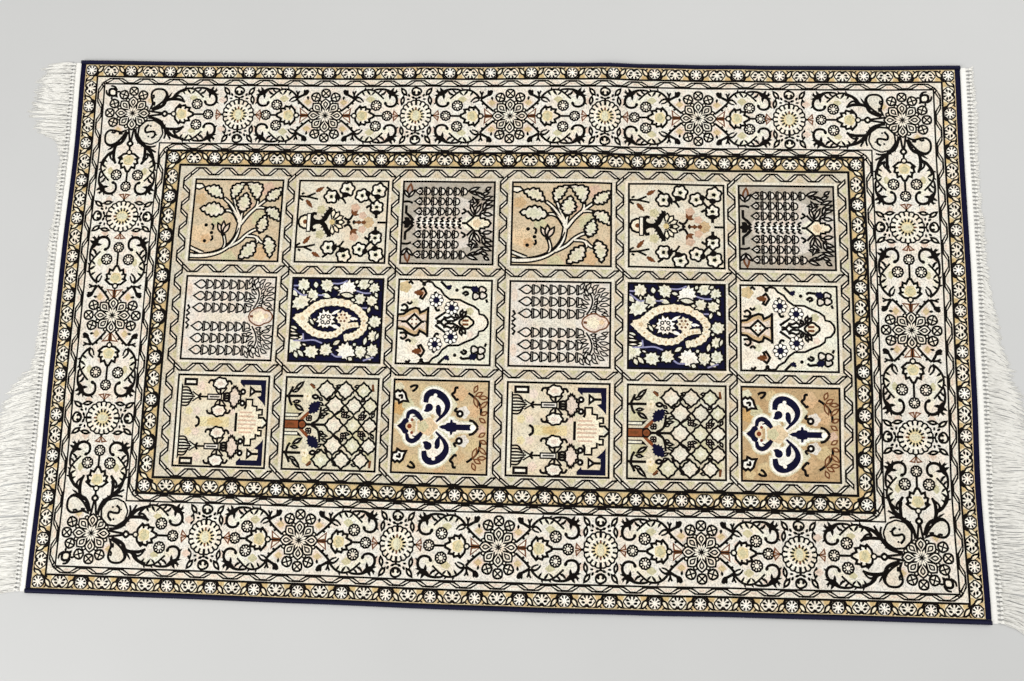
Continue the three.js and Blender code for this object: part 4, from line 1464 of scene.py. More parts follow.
def stitched(outline, spacing):
    """The outline with a point at each grid line that its long edges cross, so that neighbours meet."""
    points = []
    for a, b in zip(outline, outline[1:] + outline[:1]):
        low, high = (a.real, b.real) if abs((b - a).real) >= abs((b - a).imag) else (a.imag, b.imag)
        run = high - low
        first, last = sorted((low / spacing, high / spacing))
        steps = range(math.ceil(first), math.floor(last) + 1) if abs(run) > spacing else ()
        shares = [(k * spacing - low) / run for k in steps]
        points += [a] + [a + (b - a) * t for t in sorted(shares) if CORNER_SHARE < t < 1 - CORNER_SHARE]
    return points


def cut_layer(drawing, outline, ground, spacing=11.0):
    """Points, triangles and dyes of a drawing cut to an outline, with no overlaps."""
    x0, y0, x1, y1 = span(outline)
    outline = stitched(outline, spacing / 2)
    shapes = [(outline, ground)]
    for points, dye in drawing.shapes:
        a, b, c, d = span(points)
        if a < x1 and c > x0 and b < y1 and d > y0:
            shapes.append((stitched(points, spacing), dye))
    points = []
    edges = []
    for shape, _ in shapes:
        start = len(points)
        points += shape
        edges += [(start + k, start + (k + 1) % len(shape)) for k in range(len(shape))]
    grid_x, grid_y = [np.arange(low + spacing / 2, high, spacing) for low, high in ((x0, x1), (y0, y1))]
    grid = (grid_x + 1j * grid_y[:, None]).ravel()
    points += list(grid[inside(grid, outline)])
    flat = [Vector((p.real, p.imag)) for p in points]
    cut = delaunay_2d_cdt(flat, edges, [], 0, JOIN_DISTANCE, False)
    places = np.array([complex(*place) for place in cut[0]])
    triangles = np.array(cut[2])
    a, b, c = places[triangles].T
    turned = ((b - a).conjugate() * (c - a)).imag
    triangles[turned < 0] = triangles[turned < 0][:, ::-1]
    triangles = triangles[np.abs(turned) > LEAST_AREA]
    middles = places[triangles].mean(1)
    owners = np.full(len(triangles), -1)
    for k, (shape, _) in enumerate(shapes):
        a, b, c, d = span(shape)
        near = (middles.real > a) & (middles.real < c) & (middles.imag > b) & (middles.imag < d)
        near = np.flatnonzero(near & ((owners >= 0) | (k == 0)))
        owners[near[inside(middles[near], shape)]] = k
    used, corners = np.unique(triangles[owners >= 0], return_inverse=True)
    return places[used], corners.reshape(-1, 3), [shapes[k][1] for k in owners[owners >= 0]]


def strip_packing(boxes, gap=1.5):
    """Corner and scale of each box in a unit square, stacked in rows, long side along."""
    lengths = [max(x1 - x0, y1 - y0) for x0, y0, x1, y1 in boxes]
    heights = [min(x1 - x0, y1 - y0) for x0, y0, x1, y1 in boxes]
    order = sorted(range(len(boxes)), key=lambda k: (-heights[k], -lengths[k]))
    side = max(lengths) + gap
    while True:
        rows = []
        corners = {}
        top = 0.0
        for k in order:
            open_rows = [r for r in rows if r[0] + lengths[k] + gap <= side and heights[k] <= r[2]]
            if not open_rows:
                open_rows = [[0.0, top, heights[k]]]
                rows += open_rows
                top += heights[k] + gap
            row = open_rows[0]
            corners[k] = (row[0] + gap / 2, row[1] + gap / 2)
            row[0] += lengths[k] + gap
        if top <= side:
            return [corners[k] for k in range(len(boxes))], 1 / side
        side *= 1.02


def into_scene(name, data):
    """A new object of the data in the scene."""
    thing = bpy.data.objects.new(name, data)
    bpy.context.collection.objects.link(thing)
    return thing


def make_mesh(name, places, faces, finish, dyes=None, uvs=None):
    """A mesh object in the scene, with a dye for each face and a map for each corner."""
    mesh = bpy.data.meshes.new(name)
    mesh.from_pydata(places, [], faces)
    mesh.polygons.foreach_set("use_smooth", [True] * len(faces))
    sizes = [len(face) for face in faces]
    if dyes is not None:
        tones = {dye: [*srgb(DYES[dye]), 1.0] for dye in set(dyes)}
        colours = [tones[dye] for dye, size in zip(dyes, sizes) for _ in range(size)]
        layer = mesh.attributes.new("dye", "FLOAT_COLOR", "CORNER")
        layer.data.foreach_set("color", np.array(colours, np.float32).ravel())
    if uvs is not None:
        layer = mesh.uv_layers.new(name="OFBake")
        corners = [uvs[k] for face in faces for k in face]
        layer.data.foreach_set("uv", np.array(corners, np.float32).ravel())
    mesh.materials.append(finish)
    mesh.validate()
    return into_scene(name, mesh)


def lay_pattern(name, drawing, patches, ground, finish):
    """One piece of patterned pile, cut patch by patch."""
    corners, scale = strip_packing([span(patch) for patch in patches])
    places = []
    faces = []
    dyes = []
    uvs = []
    for patch, (left, low) in zip(patches, corners):
        points, triangles, tones = cut_layer(drawing, patch, ground)
        x0, y0, x1, y1 = span(patch)
        start = len(places)
        places += [tuple(place) for place in laid(points.real, points.imag, PILE)]
        faces += (triangles + start).tolist()
        dyes += tones
        for x, y in zip(points.real, points.imag):
            along, across = (x - x0, y - y0) if x1 - x0 >= y1 - y0 else (y - y0, x1 - x)
            uvs.append(((left + along) * scale, (low + across) * scale))
    return make_mesh(name, places, faces, finish, dyes, uvs)


# Finishes


class Tone:
    """A shader socket that can stand in sums."""

    def __init__(self, finish, socket):
        self.finish = finish
        self.socket = socket

    def _sum(self, operation, first, second):
        node = self.finish.node("ShaderNodeMath", {"operation": operation}, {0: first, 1: second})
        return Tone(self.finish, node.outputs[0])

    def __add__(self, other):
        return self._sum("ADD", self, other)

    def __sub__(self, other):
        return self._sum("SUBTRACT", self, other)

    def __rsub__(self, other):
        return self._sum("SUBTRACT", other, self)

    def __mul__(self, other):
        return self._sum("MULTIPLY", self, other)

    __radd__ = __add__
    __rmul__ = __mul__


class Wiring:
    """A node tree that is filled node by node."""

    def __init__(self, tree):
        self.tree = tree

    def node(self, kind, settings=(), sockets=()):
        """A node with its settings made first, then the values or links of its sockets."""
        node = self.tree.nodes.new(kind)
        for key, value in dict(settings).items():
            setattr(node, key, value)
        for key, value in dict(sockets).items():
            if isinstance(value, Tone):
                value = value.socket
            if isinstance(value, bpy.types.NodeSocket):
                self.tree.links.new(value, node.inputs[key])
            else:
                node.inputs[key].default_value = value
        return node


class Finish(Wiring):
    """A material and its nodes."""

    def __init__(self, name):
        self.material = bpy.data.materials.new(name)
        self.material.use_nodes = True
        super().__init__(self.material.node_tree)
        self.tree.nodes.clear()

    def places(self, stretch):
        """The piece's own coordinates in metres, stretched."""
        own = self.node("ShaderNodeTexCoord").outputs["Object"]
        return self.node("ShaderNodeMapping", {}, {"Vector": own, "Scale": stretch}).outputs["Vector"]

    def noise(self, stretch, detail):
        """Soft noise on the stretched places."""
        sockets = {"Vector": self.places(stretch), "Scale": 1.0, "Detail": detail}
        return Tone(self, self.node("ShaderNodeTexNoise", {}, sockets).outputs["Fac"])

    def knots(self, pitch):
        """A random value for each knot of the pile, which sit in rows."""
        cells = self.places((1 / pitch, 1 / pitch, 0))
        snapped = self.node("ShaderNodeVectorMath", {"operation": "FLOOR"}, {0: cells}).outputs[0]
        chance = self.node("ShaderNodeTexWhiteNoise", {"noise_dimensions": "2D"}, {"Vector": snapped})
        return Tone(self, chance.outputs["Value"])

    def tinted(self, colour, tint, share):
        """A colour multiplied by a tint, by a share."""
        settings = {"data_type": "RGBA", "blend_type": "MULTIPLY"}
        return self.node("ShaderNodeMix", settings, {"Factor": share, 6: colour, 7: tint}).outputs[2]

    def shaded(self, colour, amount):
        """A colour made darker or lighter by an amount."""
        grey = self.node("ShaderNodeCombineColor", {}, {0: amount, 1: amount, 2: amount}).outputs[0]
        return self.tinted(colour, grey, 1.0)

    def close(self, colour, roughness, height=None, distance=0.0002, strength=0.6, **fixed):
        """Finish with a principled shader; fixed values sit on its own sockets."""
        sockets = {"Base Color": colour, "Roughness": roughness}
        sockets.update({key.replace("_", " "): value for key, value in fixed.items()})
        if height is not None:
            bump = {"Height": height, "Distance": distance, "Strength": strength}
            sockets["Normal"] = self.node("ShaderNodeBump", {}, bump).outputs[0]
        shader = self.node("ShaderNodeBsdfPrincipled", {}, sockets)
        self.node("ShaderNodeOutputMaterial", {}, {"Surface": shader.outputs[0]})


def pile_finish(sizes):
    """Cut silk pile in the dye of each knot, with the dye lots' soft bands, painted nap shade in soft patches
    and a dark speckle that is partly painted shade between knots.
    """
    finish = Finish("dyed_pile")
    dye = finish.node("ShaderNodeAttribute", {"attribute_name": "dye"}).outputs["Color"]
    knots = finish.knots(sizes.knot_pitch * MM)
    lots = finish.noise((9, 3, 0), 2.0)
    # Soft patches of painted shade and light on the pile, standing in for the silk nap's sheen
    patches = finish.noise((48, 60, 0), 3.0)
    tufts = finish.noise((900, 620, 0), 1.0)
    blotches = finish.noise((38, 46, 7), 2.0)
    # The knots' term is a random tone for each knot that is partly painted shade between knots; the patches'
    # term is painted nap shade; lots and tufts are the yarn's own tone
    amount = 0.42 + (1.0 - knots * knots) * 0.46 + lots * 0.2 + patches * 0.34 + tufts * 0.14
    # Painted nap shade: the darker patches are also tinted brown
    nap_shaded = finish.tinted(dye, NAP_SHADE_TINT, 1.0 - patches * 1.4)
    nap_shaded = finish.tinted(nap_shaded, ROSY_TINT, blotches * 3.6 - 1.5)
    height = knots * 0.5 + tufts * 0.8
    finish.close(finish.shaded(nap_shaded, amount), 0.74 - lots * 0.22, height, 0.00035, 0.55,
                 Specular_IOR_Level=0.06)


def navy_finish(colours):
    """Overcast navy yarn, a little worn in soft patches."""
    finish = Finish("navy_yarn")
    fibres = finish.noise((500, 90, 500), 3.0)
    wear = finish.noise((14, 14, 14), 2.0)
    shade = finish.shaded((*colours.navy, 1), 0.55 + fibres * 0.6 + wear * 0.3)
    finish.close(shade, 0.78 - fibres * 0.2, fibres, 0.0003, 0.6, Sheen_Weight=0.05, Sheen_Roughness=0.5,
                 Specular_IOR_Level=0.2)


def warp_finish(colours):
    """White warp yarn of the end strips and fringe."""
    finish = Finish("warp_yarn")
    fibres = finish.noise((120, 900, 900), 2.0)
    soil = finish.noise((22, 22, 22), 2.0)
    shade = finish.shaded((*colours.warp, 1), 0.84 + fibres * 0.24 + soil * 0.12)
    finish.close(shade, 0.8 - fibres * 0.15, fibres, 0.0002, 0.5, Sheen_Weight=0.25, Sheen_Roughness=0.5)


# Geometry Nodes for what repeats along a path


class Growth(Wiring):
    """Geometry Nodes with named inputs, which grow a piece from its paths or points."""

    def __init__(self, name, **inputs):
        super().__init__(bpy.data.node_groups.new(name, "GeometryNodeTree"))
        for label, kind in {"Geometry": "Geometry", **inputs, "Material": "Material"}.items():
            socket = f"NodeSocket{kind}"
            self.tree.interface.new_socket(label.replace("_", " "), in_out="INPUT", socket_type=socket)
        self.tree.interface.new_socket("Geometry", in_out="OUTPUT", socket_type="NodeSocketGeometry")
        self.entry = self.tree.nodes.new("NodeGroupInput")

    def given(self, name):
        """A named input of the tree."""
        return self.entry.outputs[name]

    def step(self, kind, settings=(), **sockets):
        """First output of a geometry node; _ stands for each space in a socket's name."""
        sockets = {key.replace("_", " "): value for key, value in sockets.items()}
        return self.node(f"GeometryNode{kind}", settings, sockets).outputs[0]

    def round(self, steps, radius):
        """Round section."""
        return self.step("CurvePrimitiveCircle", {"mode": "RADIUS"}, Resolution=steps, Radius=radius)

    def oval(self, x, y, z):
        """Scale from three values."""
        return self.node("ShaderNodeCombineXYZ", {}, {0: x, 1: y, 2: z}).outputs[0]

    def chance(self, low, high):
        """Random turn for each place."""
        sockets = {0: low, 1: high, "Seed": self.given("Seed")}
        return self.node("FunctionNodeRandomValue", {"data_type": "FLOAT_VECTOR"}, sockets).outputs[0]

    def end(self, geometry):
        """Realize the instances, set the material and close the tree."""
        real = self.step("RealizeInstances", Geometry=geometry)
        dressed = self.step("SetMaterial", Geometry=real, Material=self.given("Material"))
        self.node("NodeGroupOutput", {}, {"Geometry": dressed})

    def grow(self, piece, finish, **values):
        """Give a piece the plain mesh that the nodes make of it; inputs are set by their identifiers."""
        modifier = piece.modifiers.new(self.tree.name, "NODES")
        modifier.node_group = self.tree
        inputs = [item for item in self.tree.interface.items_tree if item.in_out == "INPUT"]
        names = {item.name: item.identifier for item in inputs}
        for label, value in {**values, "Material": finish}.items():
            modifier[names[label.replace("_", " ")]] = value
        ready = piece.evaluated_get(bpy.context.evaluated_depsgraph_get())
        mesh = bpy.data.meshes.new_from_object(ready)
        piece.modifiers.remove(modifier)
        piece.data = mesh
        mesh.name = piece.name
        mesh.polygons.foreach_set("use_smooth", [True] * len(mesh.polygons))


def path_object(name, paths, girths=()):
    """Polylines as a mesh of edges, with a girth at each point where they are given."""
    places = []
    edges = []
    for path in paths:
        start = len(places)
        places += [tuple(p) for p in path]
        edges += [(start + k, start + k + 1) for k in range(len(path) - 1)]
    mesh = bpy.data.meshes.new(name)
    mesh.from_pydata(places, edges, [])
    if girths:
        layer = mesh.attributes.new("girth", "FLOAT", "POINT")
        layer.data.foreach_set("value", [g for row in girths for g in row])
    return into_scene(name, mesh)


def overcast_tree():
    """A core along a path under close turns of yarn."""
    tree = Growth("overcast_cord", Pitch="Float", Half_Width="Float", Half_Height="Float", Yarn="Float",
                  Seed="Int")
    width = tree.given("Half Width")
    height = tree.given("Half Height")
    path = tree.step("MeshToCurve", Mesh=tree.given("Geometry"))
    spaced = tree.step("ResampleCurve", {"mode": "LENGTH"}, Curve=path, Length=tree.given("Pitch"))
    upright = tree.step("Transform", Geometry=tree.round(12, 1.0), Rotation=(0, math.pi / 2, 0))
    sized = tree.step("Transform", Geometry=upright, Scale=tree.oval(1.0, width, height))
    wrap = tree.step("CurveToMesh", Curve=sized, Profile_Curve=tree.round(4, tree.given("Yarn")))
    along = tree.step("InputTangent")
    aligned = tree.node("FunctionNodeAlignEulerToVector", {"axis": "X", "pivot_axis": "Z"}, {"Vector": along})
    slant = tree.chance((-0.03, 0.0, 0.1), (0.03, 0.0, 0.26))
    turned = tree.node("FunctionNodeRotateEuler", {"space": "LOCAL"},
                       {"Rotation": aligned.outputs[0], "Rotate By": slant})
    wraps = tree.step("InstanceOnPoints", Points=spaced, Instance=wrap, Rotation=turned.outputs[0])
    section = tree.step("Transform", Geometry=tree.round(10, 1.0), Scale=tree.oval(height, width, 1.0))
    levelled = tree.step("SetCurveNormal", {"mode": "Z_UP"}, Curve=path)
    core = tree.step("CurveToMesh", Curve=levelled, Profile_Curve=section, Fill_Caps=True)
    joined = tree.tree.nodes.new("GeometryNodeJoinGeometry")
    for part in (wraps, core):
        tree.tree.links.new(part, joined.inputs[0])
    tree.end(joined.outputs[0])
    return tree


def thread_tree():
    """Threads along paths, as thick as each point's girth."""
    tree = Growth("fringe_threads", Sides="Int")
    path = tree.step("MeshToCurve", Mesh=tree.given("Geometry"))
    girth = tree.step("InputNamedAttribute", {"data_type": "FLOAT"}, Name="girth")
    section = tree.round(tree.given("Sides"), 1.0)
    tree.end(tree.step("CurveToMesh", Curve=path, Profile_Curve=section, Fill_Caps=True, Scale=girth))
    return tree


def knot_tree():
    """A wrapped knot of warp yarn on each point."""
    tree = Growth("fringe_knots", Turns="Float", Radius="Float", Length="Float", Yarn="Float", Seed="Int")
    coil = tree.step("CurveSpiral", Resolution=9, Rotations=tree.given("Turns"), Height=tree.given("Length"),
                     Start_Radius=tree.given("Radius"), End_Radius=tree.given("Radius"))
    section = tree.round(5, tree.given("Yarn"))
    wrap = tree.step("CurveToMesh", Curve=coil, Profile_Curve=section, Fill_Caps=True)
    level = tree.step("Transform", Geometry=wrap, Rotation=(0, math.pi / 2, 0))
    flat = tree.step("Transform", Geometry=level, Scale=(1.0, 1.42, 0.85))
    turn = tree.chance((-0.3, -0.1, -0.3), (0.3, 0.1, 0.3))
    size = tree.node("FunctionNodeRandomValue", {"data_type": "FLOAT"},
                     {2: 0.88, 3: 1.1, "Seed": tree.given("Seed")})
    tree.end(tree.step("InstanceOnPoints", Points=tree.given("Geometry"), Instance=flat, Rotation=turn,
                       Scale=size.outputs[1]))
    return tree


# Sizes and colours that a user may change


class RugSizes(bpy.types.PropertyGroup):
    """Sizes of the finer parts, in millimetres."""

    knot_pitch: bpy.props.FloatProperty(
        name="Knot pitch", description="Knot to knot, in millimetres", default=1.4, min=0.5)
    wrap_pitch: bpy.props.FloatProperty(
        name="Wrap pitch", description="Turn to turn of the side cords' yarn, in millimetres",
        default=1.5, min=0.5)
    yarn_girth: bpy.props.FloatProperty(
        name="Wrap yarn", description="Half thickness of the side cords' yarn, in millimetres",
        default=0.75, min=0.2)
    thread_girth: bpy.props.FloatProperty(
        name="Fringe thread", description="Half thickness of a fringe thread, in millimetres",
        default=0.5, min=0.1)
    threads: bpy.props.IntProperty(
        name="Threads in a strand", description="Fine threads in each strand of the fringe",
        default=15, min=1)


class RugColours(bpy.types.PropertyGroup):
    """Colours of the plain yarns and the floor."""

    navy: bpy.props.FloatVectorProperty(
        name="Navy yarn", description="Overcast cords", subtype="COLOR", size=3, default=srgb("0f1030"))
    warp: bpy.props.FloatVectorProperty(
        name="Warp yarn", description="End strips and fringe", subtype="COLOR", size=3,
        default=srgb("f7f5ee"))
    floor: bpy.props.FloatVectorProperty(
        name="Floor", description="Plain floor round the rug", subtype="COLOR", size=3,
        default=srgb("cdcdcb"))


class RugStage(bpy.types.PropertyGroup):
    """Light and camera."""

    key_power: bpy.props.FloatProperty(
        name="Key light", description="Power of the large soft light", default=47.0, unit="POWER")
    fill_power: bpy.props.FloatProperty(
        name="Fill light", description="Power of the light from the other side", default=21.0, unit="POWER")
    lens: bpy.props.FloatProperty(
        name="Lens", description="Focal length on a 36 mm sensor", default=27.84, subtype="DISTANCE_CAMERA")


def finished(piece):
    """Ride the rug's one body."""
    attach(piece, "root")
    return piece


def pile_piece(name, drawing, patches, ground):
    """One piece of the pattern in silk pile."""
    finished(lay_pattern(name, drawing, patches, ground, bpy.data.materials["dyed_pile"]))


# The camera stands almost over the rug, in millimetres from the rug's centre
CAMERA_PLACE = (54.3, -176.0, 1072.8)
CAMERA_RIGHT = (0.99901, 0.02508, -0.03679)
CAMERA_UP = (-0.01964, 0.98978, 0.14126)
CAMERA_BACK = (0.03996, -0.14039, 0.98929)
FLOOR_REACH = (4.0, 4.0)
FLOOR_LEVEL = -0.0004
ROOM_LIGHT = 0.58


class SILK_OT_stage(bpy.types.Operator):
    """Plain floor, soft lights and the camera at the photograph's angle."""

    bl_idname = "silk_rug.stage"
    bl_label = "Stage"

    def execute(self, context):
        scene = context.scene
        stage = scene.silk_stage
        finish = Finish("floor_plain")
        grain = finish.noise((5, 5, 5), 3.0)
        finish.close(finish.shaded((*scene.silk_colours.floor, 1), 0.97 + grain * 0.06), 0.85 - grain * 0.1)
        corners = [(p.real, p.imag, FLOOR_LEVEL) for p in centred_box(FLOOR_REACH)]
        floor = make_mesh("floor", corners, [(0, 1, 2, 3)], finish.material)
        floor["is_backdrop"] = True
        for name, place, across, power in (
                ("key", (-2.1, -1.5, 2.0), 1.5, stage.key_power),
                ("fill", (1.1, 1.0, 1.9), 2.0, stage.fill_power)):
            lamp = bpy.data.lights.new(name, "AREA")
            lamp.shape = "DISK"
            lamp.size = across
            lamp.energy = power
            lamp_object = into_scene(name, lamp)
            lamp_object.location = place
            lamp_object.rotation_euler = (-Vector(place)).to_track_quat("-Z", "Y").to_euler()
        scene.world = bpy.data.worlds.new("soft_room")
        scene.world.use_nodes = True
        sky = scene.world.node_tree.nodes["Background"]
        sky.inputs[0].default_value = (1.0, 1.0, 1.0, 1.0)
        sky.inputs[1].default_value = ROOM_LIGHT
        scene.view_settings.view_transform = "Standard"
        camera = bpy.data.cameras.new("camera")
        camera.sensor_width = 36.0
        camera.lens = stage.lens
        scene.camera = into_scene("camera", camera)
        x, y, z = CAMERA_PLACE
        turn = Matrix((CAMERA_RIGHT, CAMERA_UP, CAMERA_BACK)).transposed().to_4x4()
        scene.camera.matrix_world = Matrix.Translation(Vector((x + SHIFT_X, y + SHIFT_Y, z)) * MM) @ turn
        return {"FINISHED"}


CLOTH_STEPS = (118, 70)
RIM_SHARES = (0.4, 0.75, 0.92, 1.0)
RIM_WIDTH = 2.2
RIM_FALL = 0.9
NAVY_LAP = 2.5
PATTERN_SEAT = 0.8
SEAT_INSET = (6, 8)
CLOTH_DROP = 0.05


def edge_steps(reach, edge, count):
    """Grid places from -reach to reach, with rows at the navy edge and a rounded rim."""
    rim = [edge + (reach - edge) * share for share in RIM_SHARES]
    return [-p for p in rim[::-1]] + list(np.linspace(-edge, edge, count)) + rim


class SILK_OT_foundation(bpy.types.Operator):
    """The knotted cloth under the pattern, with its navy end bands, on the CAD cloth's ripples."""

    bl_idname = "silk_rug.foundation"
    bl_label = "Knotted cloth"

    def execute(self, context):
        edge_x, edge_y = NAVY_EDGE
        xs = edge_steps(HALF_LENGTH, edge_x, CLOTH_STEPS[0])
        ys = edge_steps(FIELD_HALF_WIDTH, edge_y - NAVY_LAP, CLOTH_STEPS[1])
        nx, ny = len(xs), len(ys)
        grid_x, grid_y = np.meshgrid(xs, ys)
        rim = np.minimum(HALF_LENGTH - np.abs(grid_x), FIELD_HALF_WIDTH - np.abs(grid_y))
        soft = RIM_FALL * np.clip(1 - rim / RIM_WIDTH, 0, 1) ** 2
        seat = (np.abs(grid_x) < edge_x - SEAT_INSET[0]) & (np.abs(grid_y) < edge_y - SEAT_INSET[1])
        low = laid(grid_x, grid_y, 0)
        top = low.copy()
        top[..., 2] += (PILE - soft - CLOTH_DROP - PATTERN_SEAT * seat) * MM
        places = [tuple(p) for level in (top, low) for p in level.reshape(-1, 3)]
        faces = []
        dyes = []
        below = nx * ny
        for j in range(ny - 1):
            for i in range(nx - 1):
                a, b, c, e = j * nx + i, j * nx + i + 1, (j + 1) * nx + i + 1, (j + 1) * nx + i
                navy = abs(xs[i] + xs[i + 1]) / 2 > edge_x or abs(ys[j] + ys[j + 1]) / 2 > edge_y - NAVY_LAP
                faces += [(a, b, c, e), (below + e, below + c, below + b, below + a)]
                dyes += ["navy", "navy"] if navy else ["lattice_ground", "back"]
        walk = list(range(nx)) + [j * nx + nx - 1 for j in range(1, ny)]
        walk += [(ny - 1) * nx + i for i in range(nx - 2, -1, -1)] + [j * nx for j in range(ny - 2, 0, -1)]
        for a, b in zip(walk, walk[1:] + walk[:1]):
            faces.append((a, below + a, below + b, b))
            dyes.append("navy")
        cloth = make_mesh("knotted_cloth", places, faces, bpy.data.materials["dyed_pile"], dyes)
        finished(cloth)
        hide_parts("pile_field")
        return {"FINISHED"}


def inset(reach, by=0.4):
    """A half-distance brought in a little."""
    return reach[0] - by, reach[1] - by


class SILK_OT_borders(bpy.types.Operator):
    """Outer guard and chain, wide floral border, inner chain, guard and lattice, as cut silk pile."""

    bl_idname = "silk_rug.borders"
    bl_label = "Borders and lattice"

    def execute(self, context):
        outer = Drawing()
        outer.lay(centred_box(OUTER_CHAIN), "chain_ground")
        outer.add(guard_border(OUTER_ROSETTES, 21, 13))
        outer.add(chain_border(OUTER_LINKS, 54, 30))
        outer.add(loop(OUTER_CHAIN))
        outer.add(loop(inset(BORDER_EDGE, -1.0)))
        outer.add(loop(inset(NAVY_EDGE), 0.9, "gold"))
        pile_piece("outer_guard", outer, ring_patches(NAVY_EDGE, BORDER_EDGE, 4, 2), "guard_ground")
        patches = ring_patches(BORDER_EDGE, INNER_CHAIN, 3, 2)
        pile_piece("floral_border", main_border(), patches, "border_ground")
        inner = Drawing()
        # Ground of the inner guard, darkened by painted shade
        inner.lay(centred_box(INNER_GUARD), "inner_guard_ground")
        inner.lay(centred_box(FIELD_EDGE), "lattice_ground")
        inner.add(guard_border(INNER_ROSETTES, 16, 8))
        inner.add(chain_border(INNER_LINKS, 44, 22))
        inner.add(lattice())
        for reach in (INNER_CHAIN, INNER_GUARD, FIELD_EDGE):
            inner.add(loop(inset(reach), 3.4))
        patches = ring_patches(INNER_CHAIN, FIELD_EDGE, 4, 2) + lattice_patches()
        pile_piece("inner_guard_lattice", inner, patches, "chain_ground")
        return {"FINISHED"}


class SILK_OT_panels(bpy.types.Operator):
    """The eighteen garden panels of the field, each cut from its own drawing."""

    bl_idname = "silk_rug.panels"
    bl_label = "Garden panels"

    def execute(self, context):
        for row in range(len(ROWS)):
            for column in range(len(COLUMNS)):
                drawing, outline, ground = garden_panel(row, column)
                pile_piece(f"panel_row{row + 1}_column{column + 1}", drawing, [outline], ground)
        return {"FINISHED"}


CORD_STEPS = 190


class SILK_OT_cords(bpy.types.Operator):
    """The overcast navy cord along each long side."""

    bl_idname = "silk_rug.cords"
    bl_label = "Side cords"

    def execute(self, context):
        sizes = context.scene.silk_sizes
        yarn = sizes.yarn_girth
        tree = overcast_tree()
        along = np.linspace(-1, 1, CORD_STEPS)
        for name, sign, table in (("north", 1, NORTH_WAVE), ("south", -1, SOUTH_WAVE)):
            east, west = [wave(end, np.array([sign]))[0] for end in (EAST_WAVE, WEST_WAVE)]
            x = along * HALF_LENGTH
            x += np.where(along > 0, along * east, along * west)
            y = sign * (CORD_LINE + wave(table, along))
            z = lift(x, y) + CORD_HEIGHT / 2
            piece = path_object(f"overcast_cord_{name}", [np.stack(in_frame(x, y, z), -1)])
            tree.grow(piece, bpy.data.materials["navy_yarn"], Pitch=sizes.wrap_pitch * MM, Yarn=yarn * MM,
                      Half_Width=(CORD_WIDTH / 2 - yarn) * MM, Half_Height=(CORD_HEIGHT / 2 - yarn) * MM,
                      Seed=4)
            finished(piece)
            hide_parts(f"side_cord_{name}")
        return {"FINISHED"}


STRIP_EDGE = GAP + STRIP_WIDTH
STRIP_STEPS = (0.0, 0.4, 2.2, 4.4, 6.6, 8.6, 9.0)
STRIP_UNDERSIDE = 0.05
RIBS = 270
RIB_PARTS = 4
RIB_HEIGHT = 0.28
KNOT_LEVEL = 2.3
KNOT_REACH = 1.6
ROOT_LEVEL = 0.9
THREAD_LEVEL = 1.8
LEAST_LEVEL = 0.36
SHORT_TAIL = 30
SHORT_TAIL_SHARES = (0.1, 0.5, 1.0)
TAIL_SHARES = (0.045, 0.2, 0.4, 0.6, 0.8, 1.0)
# How far a bundle opens and a thread strays from its place in it
OPENING = 2.9
STRAY = 0.9
# How far a thread sways and curls at its tip, at the calm west end and the ruffled east end
SWAY = {-1: 3.0, 1: 6.0}
CURL = {-1: 1.0, 1: 1.8}


def strand_rows(table, rng):
    """Place, reach and drift of each strand along an end."""
    keys, reaches, drifts = zip(*table)
    places = np.linspace(-1, 1, STRANDS_PER_END) * (HALF_WIDTH - STRIP_END_INSET - 2.5)
    rows = zip(places, wave(list(zip(keys, reaches)), places), wave(list(zip(keys, drifts)), places))
    return [(y, reach * (1 - 0.14 * rng.random()), drift) for y, reach, drift in rows]


